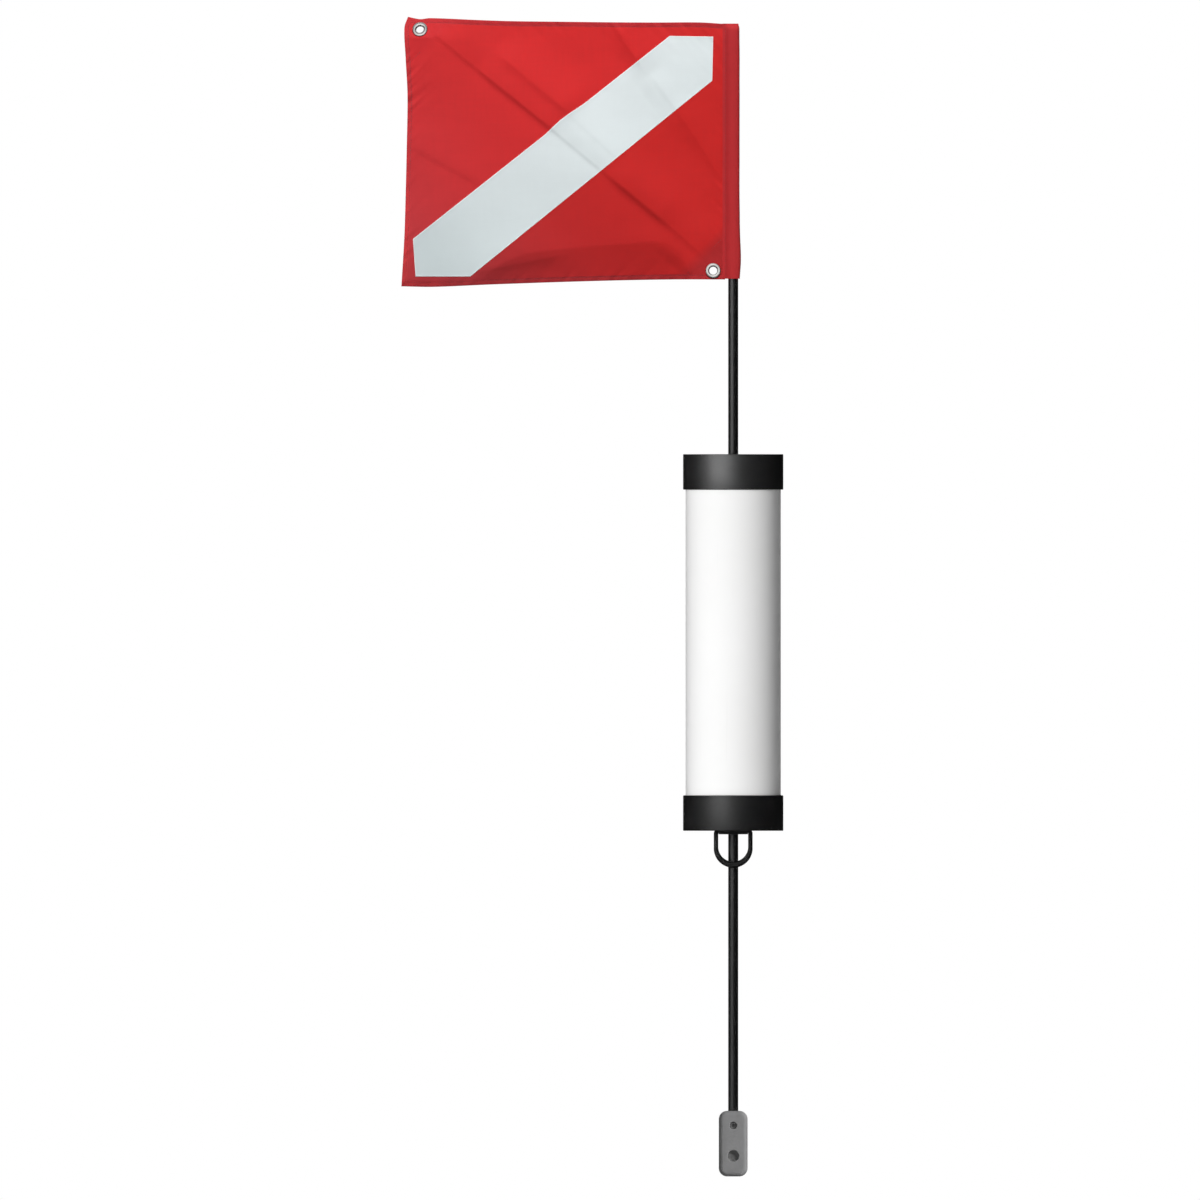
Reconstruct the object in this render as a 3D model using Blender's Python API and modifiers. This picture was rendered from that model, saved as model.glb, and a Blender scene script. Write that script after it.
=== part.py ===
"""Dive flag float: a weighted pole through a capped tube float, with a flag that turns on the pole.

Lengths are in metres and +Z is up. The origin is on the pole's axis, halfway up the float.
The front of the object faces -Y, and the flag flies towards -X.
"""

import math

import bmesh
import bpy
from mathutils import Matrix, Vector

# Clearances shared by the whole model
TOUCH_GAP = 0.0003
CUT_OVERRUN = 0.002
MERGE_DISTANCE = 0.00001
SMOOTH_ANGLE = math.radians(32)

# Pole: one fibreglass tube from the flag's tip to the weight
POLE_DIAMETER = 0.012
POLE_BORE = 0.008
POLE_SIDES = 24

# Float: a pipe with a cap over each end
FLOAT_LENGTH = 0.4524
TUBE_DIAMETER = 0.1143
TUBE_WALL = 0.0032
CAP_WALL = 0.00275
CAP_HEIGHT = 0.0426
CAP_END_THICKNESS = 0.0062
CAP_EDGE_ROUND = 0.0008
CAP_EDGE_STEPS = 3
HUB_DEPTH = 0.010
HUB_MARGIN = 0.003
FLOAT_SIDES = 60
CORE_SIDES = 40

# Rubber bush in each cap's hub, and the stop that keeps the pole in place
BUSH_WALL = 0.0034
BUSH_STEP = 0.002
BUSH_LIP = 0.002
WASHER_OVERLAP = 0.004
WASHER_THICKNESS = 0.0015
PIN_DIAMETER = 0.003
PIN_WALL = 0.0006
PIN_OVERHANG = 0.005
PIN_SLIT_ANGLE = math.radians(40)
PIN_ARC_STEPS = 12
BUSH_SIDES = 24

# Guide tube and foam inside the pipe
GUIDE_SLACK = 0.0006
GUIDE_WALL = 0.003
CORE_RECESS_MARGIN = 0.001

# Plugs at the pole's two ends
TIP_HEIGHT = 0.005
TIP_EDGE_ROUND = 0.002
TIP_EDGE_STEPS = 4
TIP_PLUG_LENGTH = 0.018
FOOT_FLANGE = 0.002
FOOT_PLUG_LENGTH = 0.032

# Tow ring under the lower cap
RING_ROD = 0.0054
RING_FOOT_ROD = 0.0074
RING_INNER_WIDTH = 0.0359
RING_DROP = 0.0407
RING_CORNER_RADIUS = 0.0032
RING_POLE_CLEARANCE = 0.0023
RING_FOOT_STEPS = 14
RING_CORNER_STEPS = 3
RING_BEVEL_RESOLUTION = 2

# Saddle that holds the ring's bar, and its screws
SADDLE_THICKNESS = 0.0012
SADDLE_BEND_STEPS = 8
SADDLE_STEP = 0.0003
PLATE_MARGIN = 0.0045
PLATE_CORNER_RADIUS = 0.003
PLATE_CORNER_STEPS = 4
SCREW_SHANK = 0.0029
SCREW_HEAD = 0.0054
SCREW_HEAD_HEIGHT = 0.0014
SCREW_LENGTH = 0.0095
SCREW_TIP = 0.002
SCREW_LIGAMENT = 0.0009
SCREW_ROW_FRONT = 0.003
SCREW_ROW_PITCH = 0.011
SCREW_SIDES = 12
RECESS_FRONT_RUN = 0.014
RECESS_SIDE_MARGIN = 0.0012

# Counterweight on the pole's foot
KEEL_CLEAR = 0.3364
WEIGHT_WIDTH = 0.0346
WEIGHT_DEPTH = 0.026
WEIGHT_HEIGHT = 0.0788
WEIGHT_CORNER_RADIUS = 0.010
WEIGHT_RIM_ROUND = 0.005
WEIGHT_CORNER_STEPS = 6
WEIGHT_RIM_STEPS = 3
WEIGHT_RIM_ANGLE = math.radians(60)
ROUND_PROFILE_SHARE = 0.5
WEIGHT_BORE_DEPTH = 0.042
SET_SCREW_HOLE = 0.0084
SET_SCREW_DROP = 0.0177
SET_SCREW_LENGTH = 0.004
SET_SCREW_SOCKET = 0.004
SET_SCREW_SOCKET_DEPTH = 0.0025
SET_SCREW_SOCKET_SIDES = 6
LINE_HOLE = 0.0134
LINE_HOLE_DROP = 0.0542
LINE_HOLE_DEPTH = 0.016
HOLE_SIDES = 24

# Flag cloth: a panel sewn to a sleeve that hangs on the pole's tip
MAST_CLEAR = 0.2108
FLAG_HOIST = 0.3065
FLAG_FLY = 0.3838
CLOTH_THICKNESS = 0.0005
SLEEVE_SLACK = 0.0012
SLEEVE_TAPER = math.radians(36)
SLEEVE_ARC_STEPS = 20
SLEEVE_CLOSURE = 0.006
SEAM_THICKNESS = 0.0012
SEAM_WIDTH = 0.0023
SEAM_COVER = 0.0009

# Outline of the panel: pairs of a place along the edge and a shift, both as shares.
# The top and bottom edges run from the fly edge to the sleeve, the fly edge from bottom to top.
TOP_EDGE_SHARES = ((0, 0.0265), (0.038, 0.0165), (0.07, 0.019), (0.22, 0.012), (0.32, 0.005),
                   (0.65, 0.002), (0.78, 0.004), (0.92, 0.002), (1, -0.003))
BOTTOM_EDGE_SHARES = ((0, -0.030), (0.1, -0.032), (0.27, -0.023), (0.47, -0.014),
                      (0.66, -0.007), (0.84, -0.003), (1, -0.003))
FLY_EDGE_SHARES = ((0, -0.013), (0.19, -0.0036), (0.33, 0), (0.51, 0.0036), (0.71, 0.006),
                   (0.85, 0), (0.96, -0.0036), (1, 0.0075))
COLUMN_STEPS = 16
ROW_STEPS = 13

# Grommets in the two opposite corners
GROMMET_BORE = 0.0095
GROMMET_DIAMETER = 0.0186
GROMMET_BARREL_WALL = 0.00045
GROMMET_DOME = 0.0013
GROMMET_DOME_STEPS = 6
GROMMET_EDGE = 0.0003
GROMMET_CURL_WIDTH = 0.0018
GROMMET_CURL_HEIGHT = 0.00075
GROMMET_WASHER_THICKNESS = 0.0006
GROMMET_SIDES = 24
UPPER_GROMMET_FROM_FLY = 0.0173
UPPER_GROMMET_FROM_TOP = 0.0071
LOWER_GROMMET_FROM_SEAM = 0.0142
LOWER_GROMMET_FROM_BOTTOM = 0.0096
GROMMET_FLAT_MARGIN = 0.0005

# Stiffener rod across the back of the flag, with its ends in two corner pockets
STIFFENER_DIAMETER = 0.003
STIFFENER_INSET = 0.0142
STIFFENER_SIDES = 12
PATCH_LEG = 0.056
PATCH_THICKNESS = 0.0005
PATCH_SEAM_GAP = 0.0004
POCKET_TOP_SHARE = 0.75
POCKET_FOOT_SHARE = 2.05
POCKET_END_RUN = 0.003

# White band across the flag
BAND_WIDTH = 0.0763
BAND_TILT = math.radians(38.66)
BAND_DROP = 0.0093
BAND_THICKNESS = 0.0003
BAND_TOP_MARGIN = 0.016
BAND_SEAM_MARGIN = 0.0155
BAND_BOTTOM_MARGIN = 0.0025
BAND_FLY_MARGIN = 0.008

# Folds of the cloth. It lies on the stiffener, stands forward in a crest above it, and sags elsewhere.
RIDGE_SHOULDER = 0.0008
CREST_RISE = 0.0022
CREST_RUN = 0.009
CREST_TOP = 0.012
SAG_ABOVE = 0.0030
SAG_ABOVE_RUN = 0.085
SAG_BELOW = 0.0032
SAG_BELOW_RUN = 0.085
CALM_RUN = 0.045
HOIST_RUN = 0.060

# Fold from the top edge to the sleeve: where it starts and ends, from the panel's upper hoist corner
HOIST_FOLD_START = (-0.1234, -0.0289)
HOIST_FOLD_END = (-0.0130, -0.1729)
HOIST_FOLD_RISE = 0.0020
HOIST_FOLD_FRONT_RUN = 0.016
HOIST_FOLD_BACK_RUN = 0.030
HOIST_FOLD_FADE = 0.030

# Lower edge: it leans back under a fold line, given as (place, height) from the panel's lower hoist corner
ROLL_LINE = ((-0.295, 0.000), (-0.265, 0.022), (-0.228, 0.034), (-0.090, 0.046), (-0.010, 0.053))
ROLL_SLOPE_SHARE = 0.22
ROLL_SOFTNESS = 0.004

# Upper fly corner: it curls back beside and above its grommet
CURL_UP_SLOPE_SHARE = 0.45
CURL_FLY_SLOPE_SHARE = 0.17
CURL_FADE = 0.070

# Heights and radii that follow from the sizes above
HALF_FLOAT = FLOAT_LENGTH / 2
POLE_RADIUS = POLE_DIAMETER / 2
POLE_HOLE_RADIUS = POLE_RADIUS + TOUCH_GAP
TUBE_RADIUS = TUBE_DIAMETER / 2
BUSH_RADIUS = POLE_HOLE_RADIUS + BUSH_WALL
BUSH_SEAT_RADIUS = BUSH_RADIUS + TOUCH_GAP
HUB_END = HALF_FLOAT - CAP_END_THICKNESS - HUB_DEPTH
WASHER_RADIUS = BUSH_SEAT_RADIUS + WASHER_OVERLAP
WASHER_BOTTOM = HUB_END - TOUCH_GAP - WASHER_THICKNESS
PIN_RADIUS = PIN_DIAMETER / 2
PIN_HEIGHT = WASHER_BOTTOM - TOUCH_GAP - PIN_RADIUS
PIN_HALF_LENGTH = POLE_RADIUS + PIN_OVERHANG
GUIDE_END = PIN_HEIGHT - PIN_RADIUS - TOUCH_GAP
GUIDE_BORE_RADIUS = POLE_RADIUS + GUIDE_SLACK
GUIDE_RADIUS = GUIDE_BORE_RADIUS + GUIDE_WALL

RING_RADIUS = RING_ROD / 2
RING_FOOT_RADIUS = RING_FOOT_ROD / 2
RING_HALF_WIDTH = RING_INNER_WIDTH / 2 + RING_RADIUS
RING_Y = -(POLE_RADIUS + RING_POLE_CLEARANCE + RING_FOOT_RADIUS)
RECESS_DEPTH = RING_RADIUS + TOUCH_GAP
RECESS_ROOF = -HALF_FLOAT + RECESS_DEPTH
KNUCKLE_INNER = RING_RADIUS + TOUCH_GAP
KNUCKLE_OUTER = KNUCKLE_INNER + SADDLE_THICKNESS
KNUCKLE_HALF_WIDTH = RING_INNER_WIDTH / 2 - TOUCH_GAP
PLATE_TOP = RECESS_ROOF - TOUCH_GAP
PLATE_BOTTOM = PLATE_TOP - SADDLE_THICKNESS
SCREW_RADIUS = SCREW_SHANK / 2
SCREW_HOLE_RADIUS = SCREW_RADIUS + TOUCH_GAP
SCREW_X = BUSH_SEAT_RADIUS + SCREW_LIGAMENT + SCREW_HOLE_RADIUS
SCREW_ROW_REAR = SCREW_ROW_FRONT + SCREW_ROW_PITCH
PLATE_HALF_WIDTH = SCREW_X + PLATE_MARGIN
PLATE_FRONT = RING_Y + KNUCKLE_INNER + SADDLE_STEP
PLATE_REAR = SCREW_ROW_REAR + PLATE_MARGIN
HUB_RADIUS = math.hypot(SCREW_X, SCREW_ROW_REAR) + SCREW_HOLE_RADIUS + HUB_MARGIN

WEIGHT_TOP = -(HALF_FLOAT + KEEL_CLEAR)
WEIGHT_FRONT = -WEIGHT_DEPTH / 2
FOOT_BOTTOM = WEIGHT_TOP - WEIGHT_BORE_DEPTH + TOUCH_GAP
POLE_BOTTOM = FOOT_BOTTOM + FOOT_FLANGE + TOUCH_GAP

FLAG_BOTTOM = HALF_FLOAT + MAST_CLEAR
FLAG_TOP = FLAG_BOTTOM + FLAG_HOIST
SLEEVE_CEILING = FLAG_TOP - SLEEVE_CLOSURE
TIP_TOP = SLEEVE_CEILING - TOUCH_GAP
POLE_TOP = TIP_TOP - TIP_HEIGHT - TOUCH_GAP
SLEEVE_INNER = POLE_RADIUS + SLEEVE_SLACK
SLEEVE_OUTER = SLEEVE_INNER + CLOTH_THICKNESS
THROAT_X = -SLEEVE_INNER / math.cos(SLEEVE_TAPER)
SEAM_END_X = THROAT_X - SEAM_WIDTH
PANEL_HOIST_X = THROAT_X - SEAM_COVER
PANEL_FLY_X = PANEL_HOIST_X - FLAG_FLY
HALF_CLOTH = CLOTH_THICKNESS / 2

GROMMET_RADIUS = GROMMET_DIAMETER / 2
BARREL_RADIUS = GROMMET_BORE / 2 + GROMMET_BARREL_WALL
EYELET_HOLE_RADIUS = BARREL_RADIUS + TOUCH_GAP
GROMMET_FLAT = GROMMET_RADIUS + GROMMET_FLAT_MARGIN
UPPER_GROMMET_X = PANEL_FLY_X + UPPER_GROMMET_FROM_FLY
UPPER_GROMMET_Z = FLAG_TOP - UPPER_GROMMET_FROM_TOP
LOWER_GROMMET_X = PANEL_HOIST_X - LOWER_GROMMET_FROM_SEAM
LOWER_GROMMET_Z = FLAG_BOTTOM + LOWER_GROMMET_FROM_BOTTOM
UPPER_BLOCK_X = UPPER_GROMMET_X + GROMMET_FLAT
UPPER_BLOCK_Z = UPPER_GROMMET_Z - GROMMET_FLAT
LOWER_BLOCK_X = LOWER_GROMMET_X - GROMMET_FLAT
LOWER_BLOCK_Z = LOWER_GROMMET_Z + GROMMET_FLAT

STIFFENER_RADIUS = STIFFENER_DIAMETER / 2
STIFFENER_Y = HALF_CLOTH + TOUCH_GAP + BAND_THICKNESS + TOUCH_GAP + STIFFENER_RADIUS
RIDGE_FLAT = STIFFENER_RADIUS + RIDGE_SHOULDER
POCKET_TOP = STIFFENER_RADIUS * POCKET_TOP_SHARE
POCKET_FOOT = STIFFENER_RADIUS * POCKET_FOOT_SHARE
SPAN_X = LOWER_GROMMET_X - UPPER_GROMMET_X
SPAN_Z = LOWER_GROMMET_Z - UPPER_GROMMET_Z
SPAN = math.hypot(SPAN_X, SPAN_Z)
ALONG_X = SPAN_X / SPAN
ALONG_Z = SPAN_Z / SPAN


def start_collections():
    """Clear the file and make one collection for the object and one for its cutters."""
    for obj in list(bpy.data.objects):
        bpy.data.objects.remove(obj, do_unlink=True)
    parts = bpy.data.collections.new("dive_flag_float")
    cutters = bpy.data.collections.new("cutters")
    bpy.context.scene.collection.children.link(parts)
    bpy.context.scene.collection.children.link(cutters)
    return parts, cutters


PARTS, CUTTERS = start_collections()


def finish(name, colour, roughness, metallic):
    """A Principled material for one kind of surface."""
    material = bpy.data.materials.new(name)
    material.use_nodes = True
    shader = material.node_tree.nodes["Principled BSDF"]
    shader.inputs["Base Color"].default_value = (*colour, 1)
    shader.inputs["Roughness"].default_value = roughness
    shader.inputs["Metallic"].default_value = metallic
    material.diffuse_color = (*colour, 1)
    return material


RED_NYLON = finish("red_nylon", (0.62, 0.028, 0.030), 0.65, 0)
WHITE_BAND = finish("white_band", (0.62, 0.70, 0.72), 0.60, 0)
NICKEL = finish("nickel_plate", (0.70, 0.68, 0.64), 0.22, 1)
BLACK_GLASS_FIBRE = finish("black_glass_fibre", (0.012, 0.012, 0.012), 0.30, 0)
WHITE_PIPE = finish("white_pipe", (0.86, 0.86, 0.86), 0.35, 0)
BLACK_CAP = finish("black_cap", (0.014, 0.014, 0.014), 0.35, 0)
BLACK_RUBBER = finish("black_rubber", (0.020, 0.020, 0.020), 0.75, 0)
BLACK_RING = finish("black_ring", (0.030, 0.030, 0.030), 0.45, 0)
GREY_CASTING = finish("grey_casting", (0.21, 0.21, 0.21), 0.55, 1)
STAINLESS = finish("stainless_steel", (0.56, 0.56, 0.57), 0.30, 1)
BLUE_FOAM = finish("pale_foam", (0.70, 0.72, 0.74), 0.90, 0)
GREY_GUIDE = finish("grey_guide", (0.36, 0.37, 0.38), 0.50, 0)


def place(name, data, material, collection=PARTS):
    """Link new mesh or curve data as a named object with one material."""
    obj = bpy.data.objects.new(name, data)
    collection.objects.link(obj)
    if material is not None:
        data.materials.append(material)
    return obj


def as_cutter(obj):
    """Move an object to the cutters' collection and show it as a wire."""
    for collection in list(obj.users_collection):
        collection.objects.unlink(obj)
    CUTTERS.objects.link(obj)
    obj.hide_render = True
    obj.display_type = 'WIRE'
    return obj


def combine(obj, operation, *tools):
    """Cut, join or trim an object with other meshes, by Boolean modifiers."""
    for tool in tools:
        boolean = obj.modifiers.new(operation.title() + " " + tool.name, 'BOOLEAN')
        boolean.operation = operation
        boolean.object = tool
        boolean.solver = 'EXACT'
        as_cutter(tool)
    return obj


def settle(obj):
    """Keep an object's evaluated shape as its mesh, with smooth shading between its sharp edges."""
    bpy.context.view_layer.update()
    evaluated = obj.evaluated_get(bpy.context.evaluated_depsgraph_get())
    mesh = bpy.data.meshes.new_from_object(evaluated)
    obj.modifiers.clear()
    obj.data = mesh
    mesh.shade_smooth()
    mesh.set_sharp_from_angle(angle=SMOOTH_ANGLE)
    return obj


def curve_to_mesh(obj):
    """Replace a curve object by a mesh object of the same name, with its end caps welded on."""
    bpy.context.view_layer.update()
    evaluated = obj.evaluated_get(bpy.context.evaluated_depsgraph_get())
    mesh = bpy.data.meshes.new_from_object(evaluated)
    shape = bmesh.new()
    shape.from_mesh(mesh)
    bmesh.ops.remove_doubles(shape, verts=shape.verts, dist=MERGE_DISTANCE)
    bmesh.ops.recalc_face_normals(shape, faces=shape.faces)
    shape.to_mesh(mesh)
    shape.free()
    name = obj.name
    matrix = obj.matrix_world.copy()
    bpy.data.objects.remove(obj, do_unlink=True)
    solid = bpy.data.objects.new(name, mesh)
    PARTS.objects.link(solid)
    solid.matrix_world = matrix
    return solid


def turned(name, profile, sides, material, closed=True):
    """Turn a profile of (radius, height) pairs about Z: outer side from the top down."""
    mesh = bpy.data.meshes.new(name)
    points = [(radius, 0, height) for radius, height in profile]
    count = len(points)
    edges = [(index, index + 1) for index in range(count - 1)]
    if closed:
        edges.append((count - 1, 0))
    mesh.from_pydata(points, edges, [])
    obj = place(name, mesh, material)
    screw = obj.modifiers.new("Turn", 'SCREW')
    screw.axis = 'Z'
    screw.angle = math.tau
    screw.steps = sides
    screw.render_steps = sides
    screw.use_merge_vertices = True
    screw.merge_threshold = MERGE_DISTANCE
    return obj


def ring_profile(inner, outer, top, bottom):
    """The rectangle that turns into a tube, washer or sleeve."""
    return [(inner, top), (outer, top), (outer, bottom), (inner, bottom)]


def rod(name, radius, start, end, sides, material=None):
    """A solid round bar between two points."""
    start = Vector(start)
    end = Vector(end)
    shape = bmesh.new()
    bmesh.ops.create_cone(shape, cap_ends=True, segments=sides, radius1=radius, radius2=radius,
                          depth=(end - start).length)
    mesh = bpy.data.meshes.new(name)
    shape.to_mesh(mesh)
    shape.free()
    obj = place(name, mesh, material)
    obj.rotation_euler = (end - start).to_track_quat('Z', 'Y').to_euler()
    obj.location = (start + end) / 2
    return obj


def block(name, low, high):
    """A box between two corners."""
    low = Vector(low)
    high = Vector(high)
    size = high - low
    shape = bmesh.new()
    bmesh.ops.create_cube(shape, size=1)
    bmesh.ops.transform(shape, matrix=Matrix.Diagonal((*size, 1)), verts=shape.verts)
    mesh = bpy.data.meshes.new(name)
    shape.to_mesh(mesh)
    shape.free()
    obj = place(name, mesh, None)
    obj.location = (low + high) / 2
    return obj


def flat_outline(name, outline, half_thickness, material=None):
    """A filled 2D curve through the outline's points, extruded to both sides of its plane."""
    curve = bpy.data.curves.new(name, 'CURVE')
    curve.dimensions = '2D'
    curve.fill_mode = 'BOTH'
    curve.extrude = half_thickness
    spline = curve.splines.new('POLY')
    spline.points.add(len(outline) - 1)
    for point, (x, y) in zip(spline.points, outline):
        point.co = (x, y, 0, 1)
    spline.use_cyclic_u = True
    return place(name, curve, material)


def arc(centre_x, centre_y, radius, start, end, steps):
    """Points on a circle from one angle to another, both ends included."""
    points = []
    for step in range(steps + 1):
        angle = start + (end - start) * step / steps
        points.append((centre_x + radius * math.cos(angle), centre_y + radius * math.sin(angle)))
    return points


def pivot(name, location):
    """An empty on a joint's axis, which carries the pieces that move about it."""
    empty = bpy.data.objects.new(name, None)
    empty.location = location
    PARTS.objects.link(empty)
    return empty


def carry(parent, *children):
    """Parent pieces to an empty and leave them where they are."""
    bpy.context.view_layer.update()
    for child in children:
        child.parent = parent
        child.matrix_parent_inverse = parent.matrix_world.inverted()


# Float: caps, pipe and what fills it

def cap_profile(face_recess):
    """Section of a cap with its hub inside, its outer face up and at height zero."""
    outer = TUBE_RADIUS + TOUCH_GAP + CAP_WALL
    skirt = TUBE_RADIUS + TOUCH_GAP
    nose_hole = BUSH_RADIUS - BUSH_STEP + TOUCH_GAP
    shelf = -(face_recess + BUSH_LIP)
    hub_end = -(CAP_END_THICKNESS + HUB_DEPTH)
    edge = arc(outer - CAP_EDGE_ROUND, -CAP_EDGE_ROUND, CAP_EDGE_ROUND, math.pi / 2, 0,
               CAP_EDGE_STEPS)
    rim = arc(outer - CAP_EDGE_ROUND, CAP_EDGE_ROUND - CAP_HEIGHT, CAP_EDGE_ROUND, 0,
              -math.pi / 2, CAP_EDGE_STEPS)
    inside = [(skirt, -CAP_HEIGHT), (skirt, -CAP_END_THICKNESS), (HUB_RADIUS, -CAP_END_THICKNESS),
              (HUB_RADIUS, hub_end), (BUSH_SEAT_RADIUS, hub_end), (BUSH_SEAT_RADIUS, shelf),
              (nose_hole, shelf), (nose_hole, 0)]
    return edge + rim + inside


def make_caps():
    """The upper cap, and the lower cap with its recess for the ring and its screw holes."""
    top_cap = turned("top_cap", cap_profile(0), FLOAT_SIDES, BLACK_CAP)
    top_cap.location = (0, 0, HALF_FLOAT)
    bottom_cap = turned("bottom_cap", cap_profile(RECESS_DEPTH), FLOAT_SIDES, BLACK_CAP)
    bottom_cap.location = (0, 0, -HALF_FLOAT)
    bottom_cap.rotation_euler = (math.pi, 0, 0)
    half_width = max(RING_HALF_WIDTH + RING_RADIUS, PLATE_HALF_WIDTH) + RECESS_SIDE_MARGIN
    recess = block("ring_recess_cutter",
                   (-half_width, RING_Y - RECESS_FRONT_RUN, -HALF_FLOAT - CUT_OVERRUN),
                   (half_width, PLATE_REAR + RECESS_SIDE_MARGIN, RECESS_ROOF))
    combine(bottom_cap, 'DIFFERENCE', recess)
    for index, (x, y) in enumerate(screw_places(), start=1):
        hole = rod(f"cap_pilot_cutter_{index}", SCREW_HOLE_RADIUS, (x, y, -HALF_FLOAT - CUT_OVERRUN),
                   (x, y, PLATE_BOTTOM + SCREW_LENGTH + TOUCH_GAP), SCREW_SIDES)
        combine(bottom_cap, 'DIFFERENCE', hole)


def make_float_tube():
    """The pipe between the caps, whose ends stop just short of the caps' end walls."""
    end = HALF_FLOAT - CAP_END_THICKNESS - TOUCH_GAP
    turned("float_tube", ring_profile(TUBE_RADIUS - TUBE_WALL, TUBE_RADIUS, end, -end),
           FLOAT_SIDES, WHITE_PIPE)


def make_core():
    """The foam that fills the pipe, and the guide tube through it."""
    outer = TUBE_RADIUS - TUBE_WALL - TOUCH_GAP
    hole = GUIDE_RADIUS + TOUCH_GAP
    recess = max(WASHER_RADIUS, PIN_HALF_LENGTH) + CORE_RECESS_MARGIN
    end = HUB_END - TOUCH_GAP
    profile = [(recess, end), (outer, end), (outer, -end), (recess, -end), (recess, -GUIDE_END),
               (hole, -GUIDE_END), (hole, GUIDE_END), (recess, GUIDE_END)]
    turned("foam_core", profile, CORE_SIDES, BLUE_FOAM)
    turned("guide_tube", ring_profile(GUIDE_BORE_RADIUS, GUIDE_RADIUS, GUIDE_END, -GUIDE_END),
           BUSH_SIDES, GREY_GUIDE)


def make_bush(name, face_recess, location, rotation):
    """A stepped rubber bush round the pole, held in a cap's hub."""
    nose = BUSH_RADIUS - BUSH_STEP
    face = -face_recess
    shelf = face - BUSH_LIP - TOUCH_GAP
    end = -(CAP_END_THICKNESS + HUB_DEPTH)
    profile = [(POLE_HOLE_RADIUS, face), (nose, face), (nose, shelf), (BUSH_RADIUS, shelf),
               (BUSH_RADIUS, end), (POLE_HOLE_RADIUS, end)]
    bush = turned(name, profile, BUSH_SIDES, BLACK_RUBBER)
    bush.location = location
    bush.rotation_euler = rotation


def make_pole_stop(prefix, side):
    """A washer against a hub, and the slit spring pin through the pole that bears on it."""
    low, high = sorted((side * WASHER_BOTTOM, side * (WASHER_BOTTOM + WASHER_THICKNESS)))
    turned(prefix + "_thrust_washer", ring_profile(POLE_HOLE_RADIUS, WASHER_RADIUS, high, low),
           BUSH_SIDES, STAINLESS)
    half_slit = PIN_SLIT_ANGLE / 2
    outline = arc(0, 0, PIN_RADIUS, half_slit, math.tau - half_slit, PIN_ARC_STEPS)
    outline += arc(0, 0, PIN_RADIUS - PIN_WALL, math.tau - half_slit, half_slit, PIN_ARC_STEPS)
    pin = flat_outline(prefix + "_roll_pin", outline, PIN_HALF_LENGTH, STAINLESS)
    pin.location = (0, 0, side * PIN_HEIGHT)
    pin.rotation_euler = (0, math.pi / 2, 0)
    curve_to_mesh(pin)


# Pole and its end plugs

def make_pole():
    """The pole, with a cross hole for each spring pin."""
    pole = turned("pole", ring_profile(POLE_BORE / 2, POLE_RADIUS, POLE_TOP, POLE_BOTTOM),
                  POLE_SIDES, BLACK_GLASS_FIBRE)
    reach = POLE_RADIUS + CUT_OVERRUN
    for prefix, side in (("upper", 1), ("lower", -1)):
        height = side * PIN_HEIGHT
        hole = rod(prefix + "_pin_hole_cutter", PIN_RADIUS + TOUCH_GAP, (-reach, 0, height),
                   (reach, 0, height), SCREW_SIDES)
        combine(pole, 'DIFFERENCE', hole)


def make_pole_plugs():
    """The domed cap on the pole's tip and the flanged plug in its foot."""
    plug = POLE_BORE / 2 - TOUCH_GAP
    shoulder = POLE_TOP + TOUCH_GAP
    dome = arc(POLE_RADIUS - TIP_EDGE_ROUND, TIP_TOP - TIP_EDGE_ROUND, TIP_EDGE_ROUND, math.pi / 2, 0,
               TIP_EDGE_STEPS)
    tip = [(0, TIP_TOP)] + dome + [(POLE_RADIUS, shoulder), (plug, shoulder),
                                   (plug, shoulder - TIP_PLUG_LENGTH), (0, shoulder - TIP_PLUG_LENGTH)]
    turned("pole_tip_cap", tip, POLE_SIDES, BLACK_RUBBER, closed=False)
    flange = FOOT_BOTTOM + FOOT_FLANGE
    foot = [(0, flange + FOOT_PLUG_LENGTH), (plug, flange + FOOT_PLUG_LENGTH), (plug, flange),
            (POLE_RADIUS, flange), (POLE_RADIUS, FOOT_BOTTOM), (0, FOOT_BOTTOM)]
    turned("pole_foot_plug", foot, POLE_SIDES, BLACK_RUBBER, closed=False)


# Tow ring, its saddle and the screws

def screw_places():
    """Where the four saddle screws go, two on each side of the pole."""
    return [(x, y) for x in (-SCREW_X, SCREW_X) for y in (SCREW_ROW_FRONT, SCREW_ROW_REAR)]


def make_tow_ring():
    """A D-shaped ring whose bar is on the joint's axis, thicker round its foot."""
    corner = RING_CORNER_RADIUS
    half = RING_HALF_WIDTH
    foot_centre = half - RING_DROP
    path = []
    path += arc(-half + corner, -corner, corner, math.pi, math.pi / 2, RING_CORNER_STEPS)
    path += arc(half - corner, -corner, corner, math.pi / 2, 0, RING_CORNER_STEPS)
    path += arc(0, foot_centre, half, 0, -math.pi, RING_FOOT_STEPS)
    curve = bpy.data.curves.new("tow_ring", 'CURVE')
    curve.dimensions = '3D'
    curve.bevel_depth = RING_RADIUS
    curve.bevel_resolution = RING_BEVEL_RESOLUTION
    spline = curve.splines.new('POLY')
    spline.points.add(len(path) - 1)
    swell = RING_FOOT_RADIUS / RING_RADIUS - 1
    for point, (x, z) in zip(spline.points, path):
        below = max(0, foot_centre - z) / half
        point.co = (x, 0, z, 1)
        point.radius = 1 + swell * below
    spline.use_cyclic_u = True
    ring = place("tow_ring", curve, BLACK_RING)
    ring.location = (0, RING_Y, -HALF_FLOAT)
    curve_to_mesh(ring)


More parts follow.
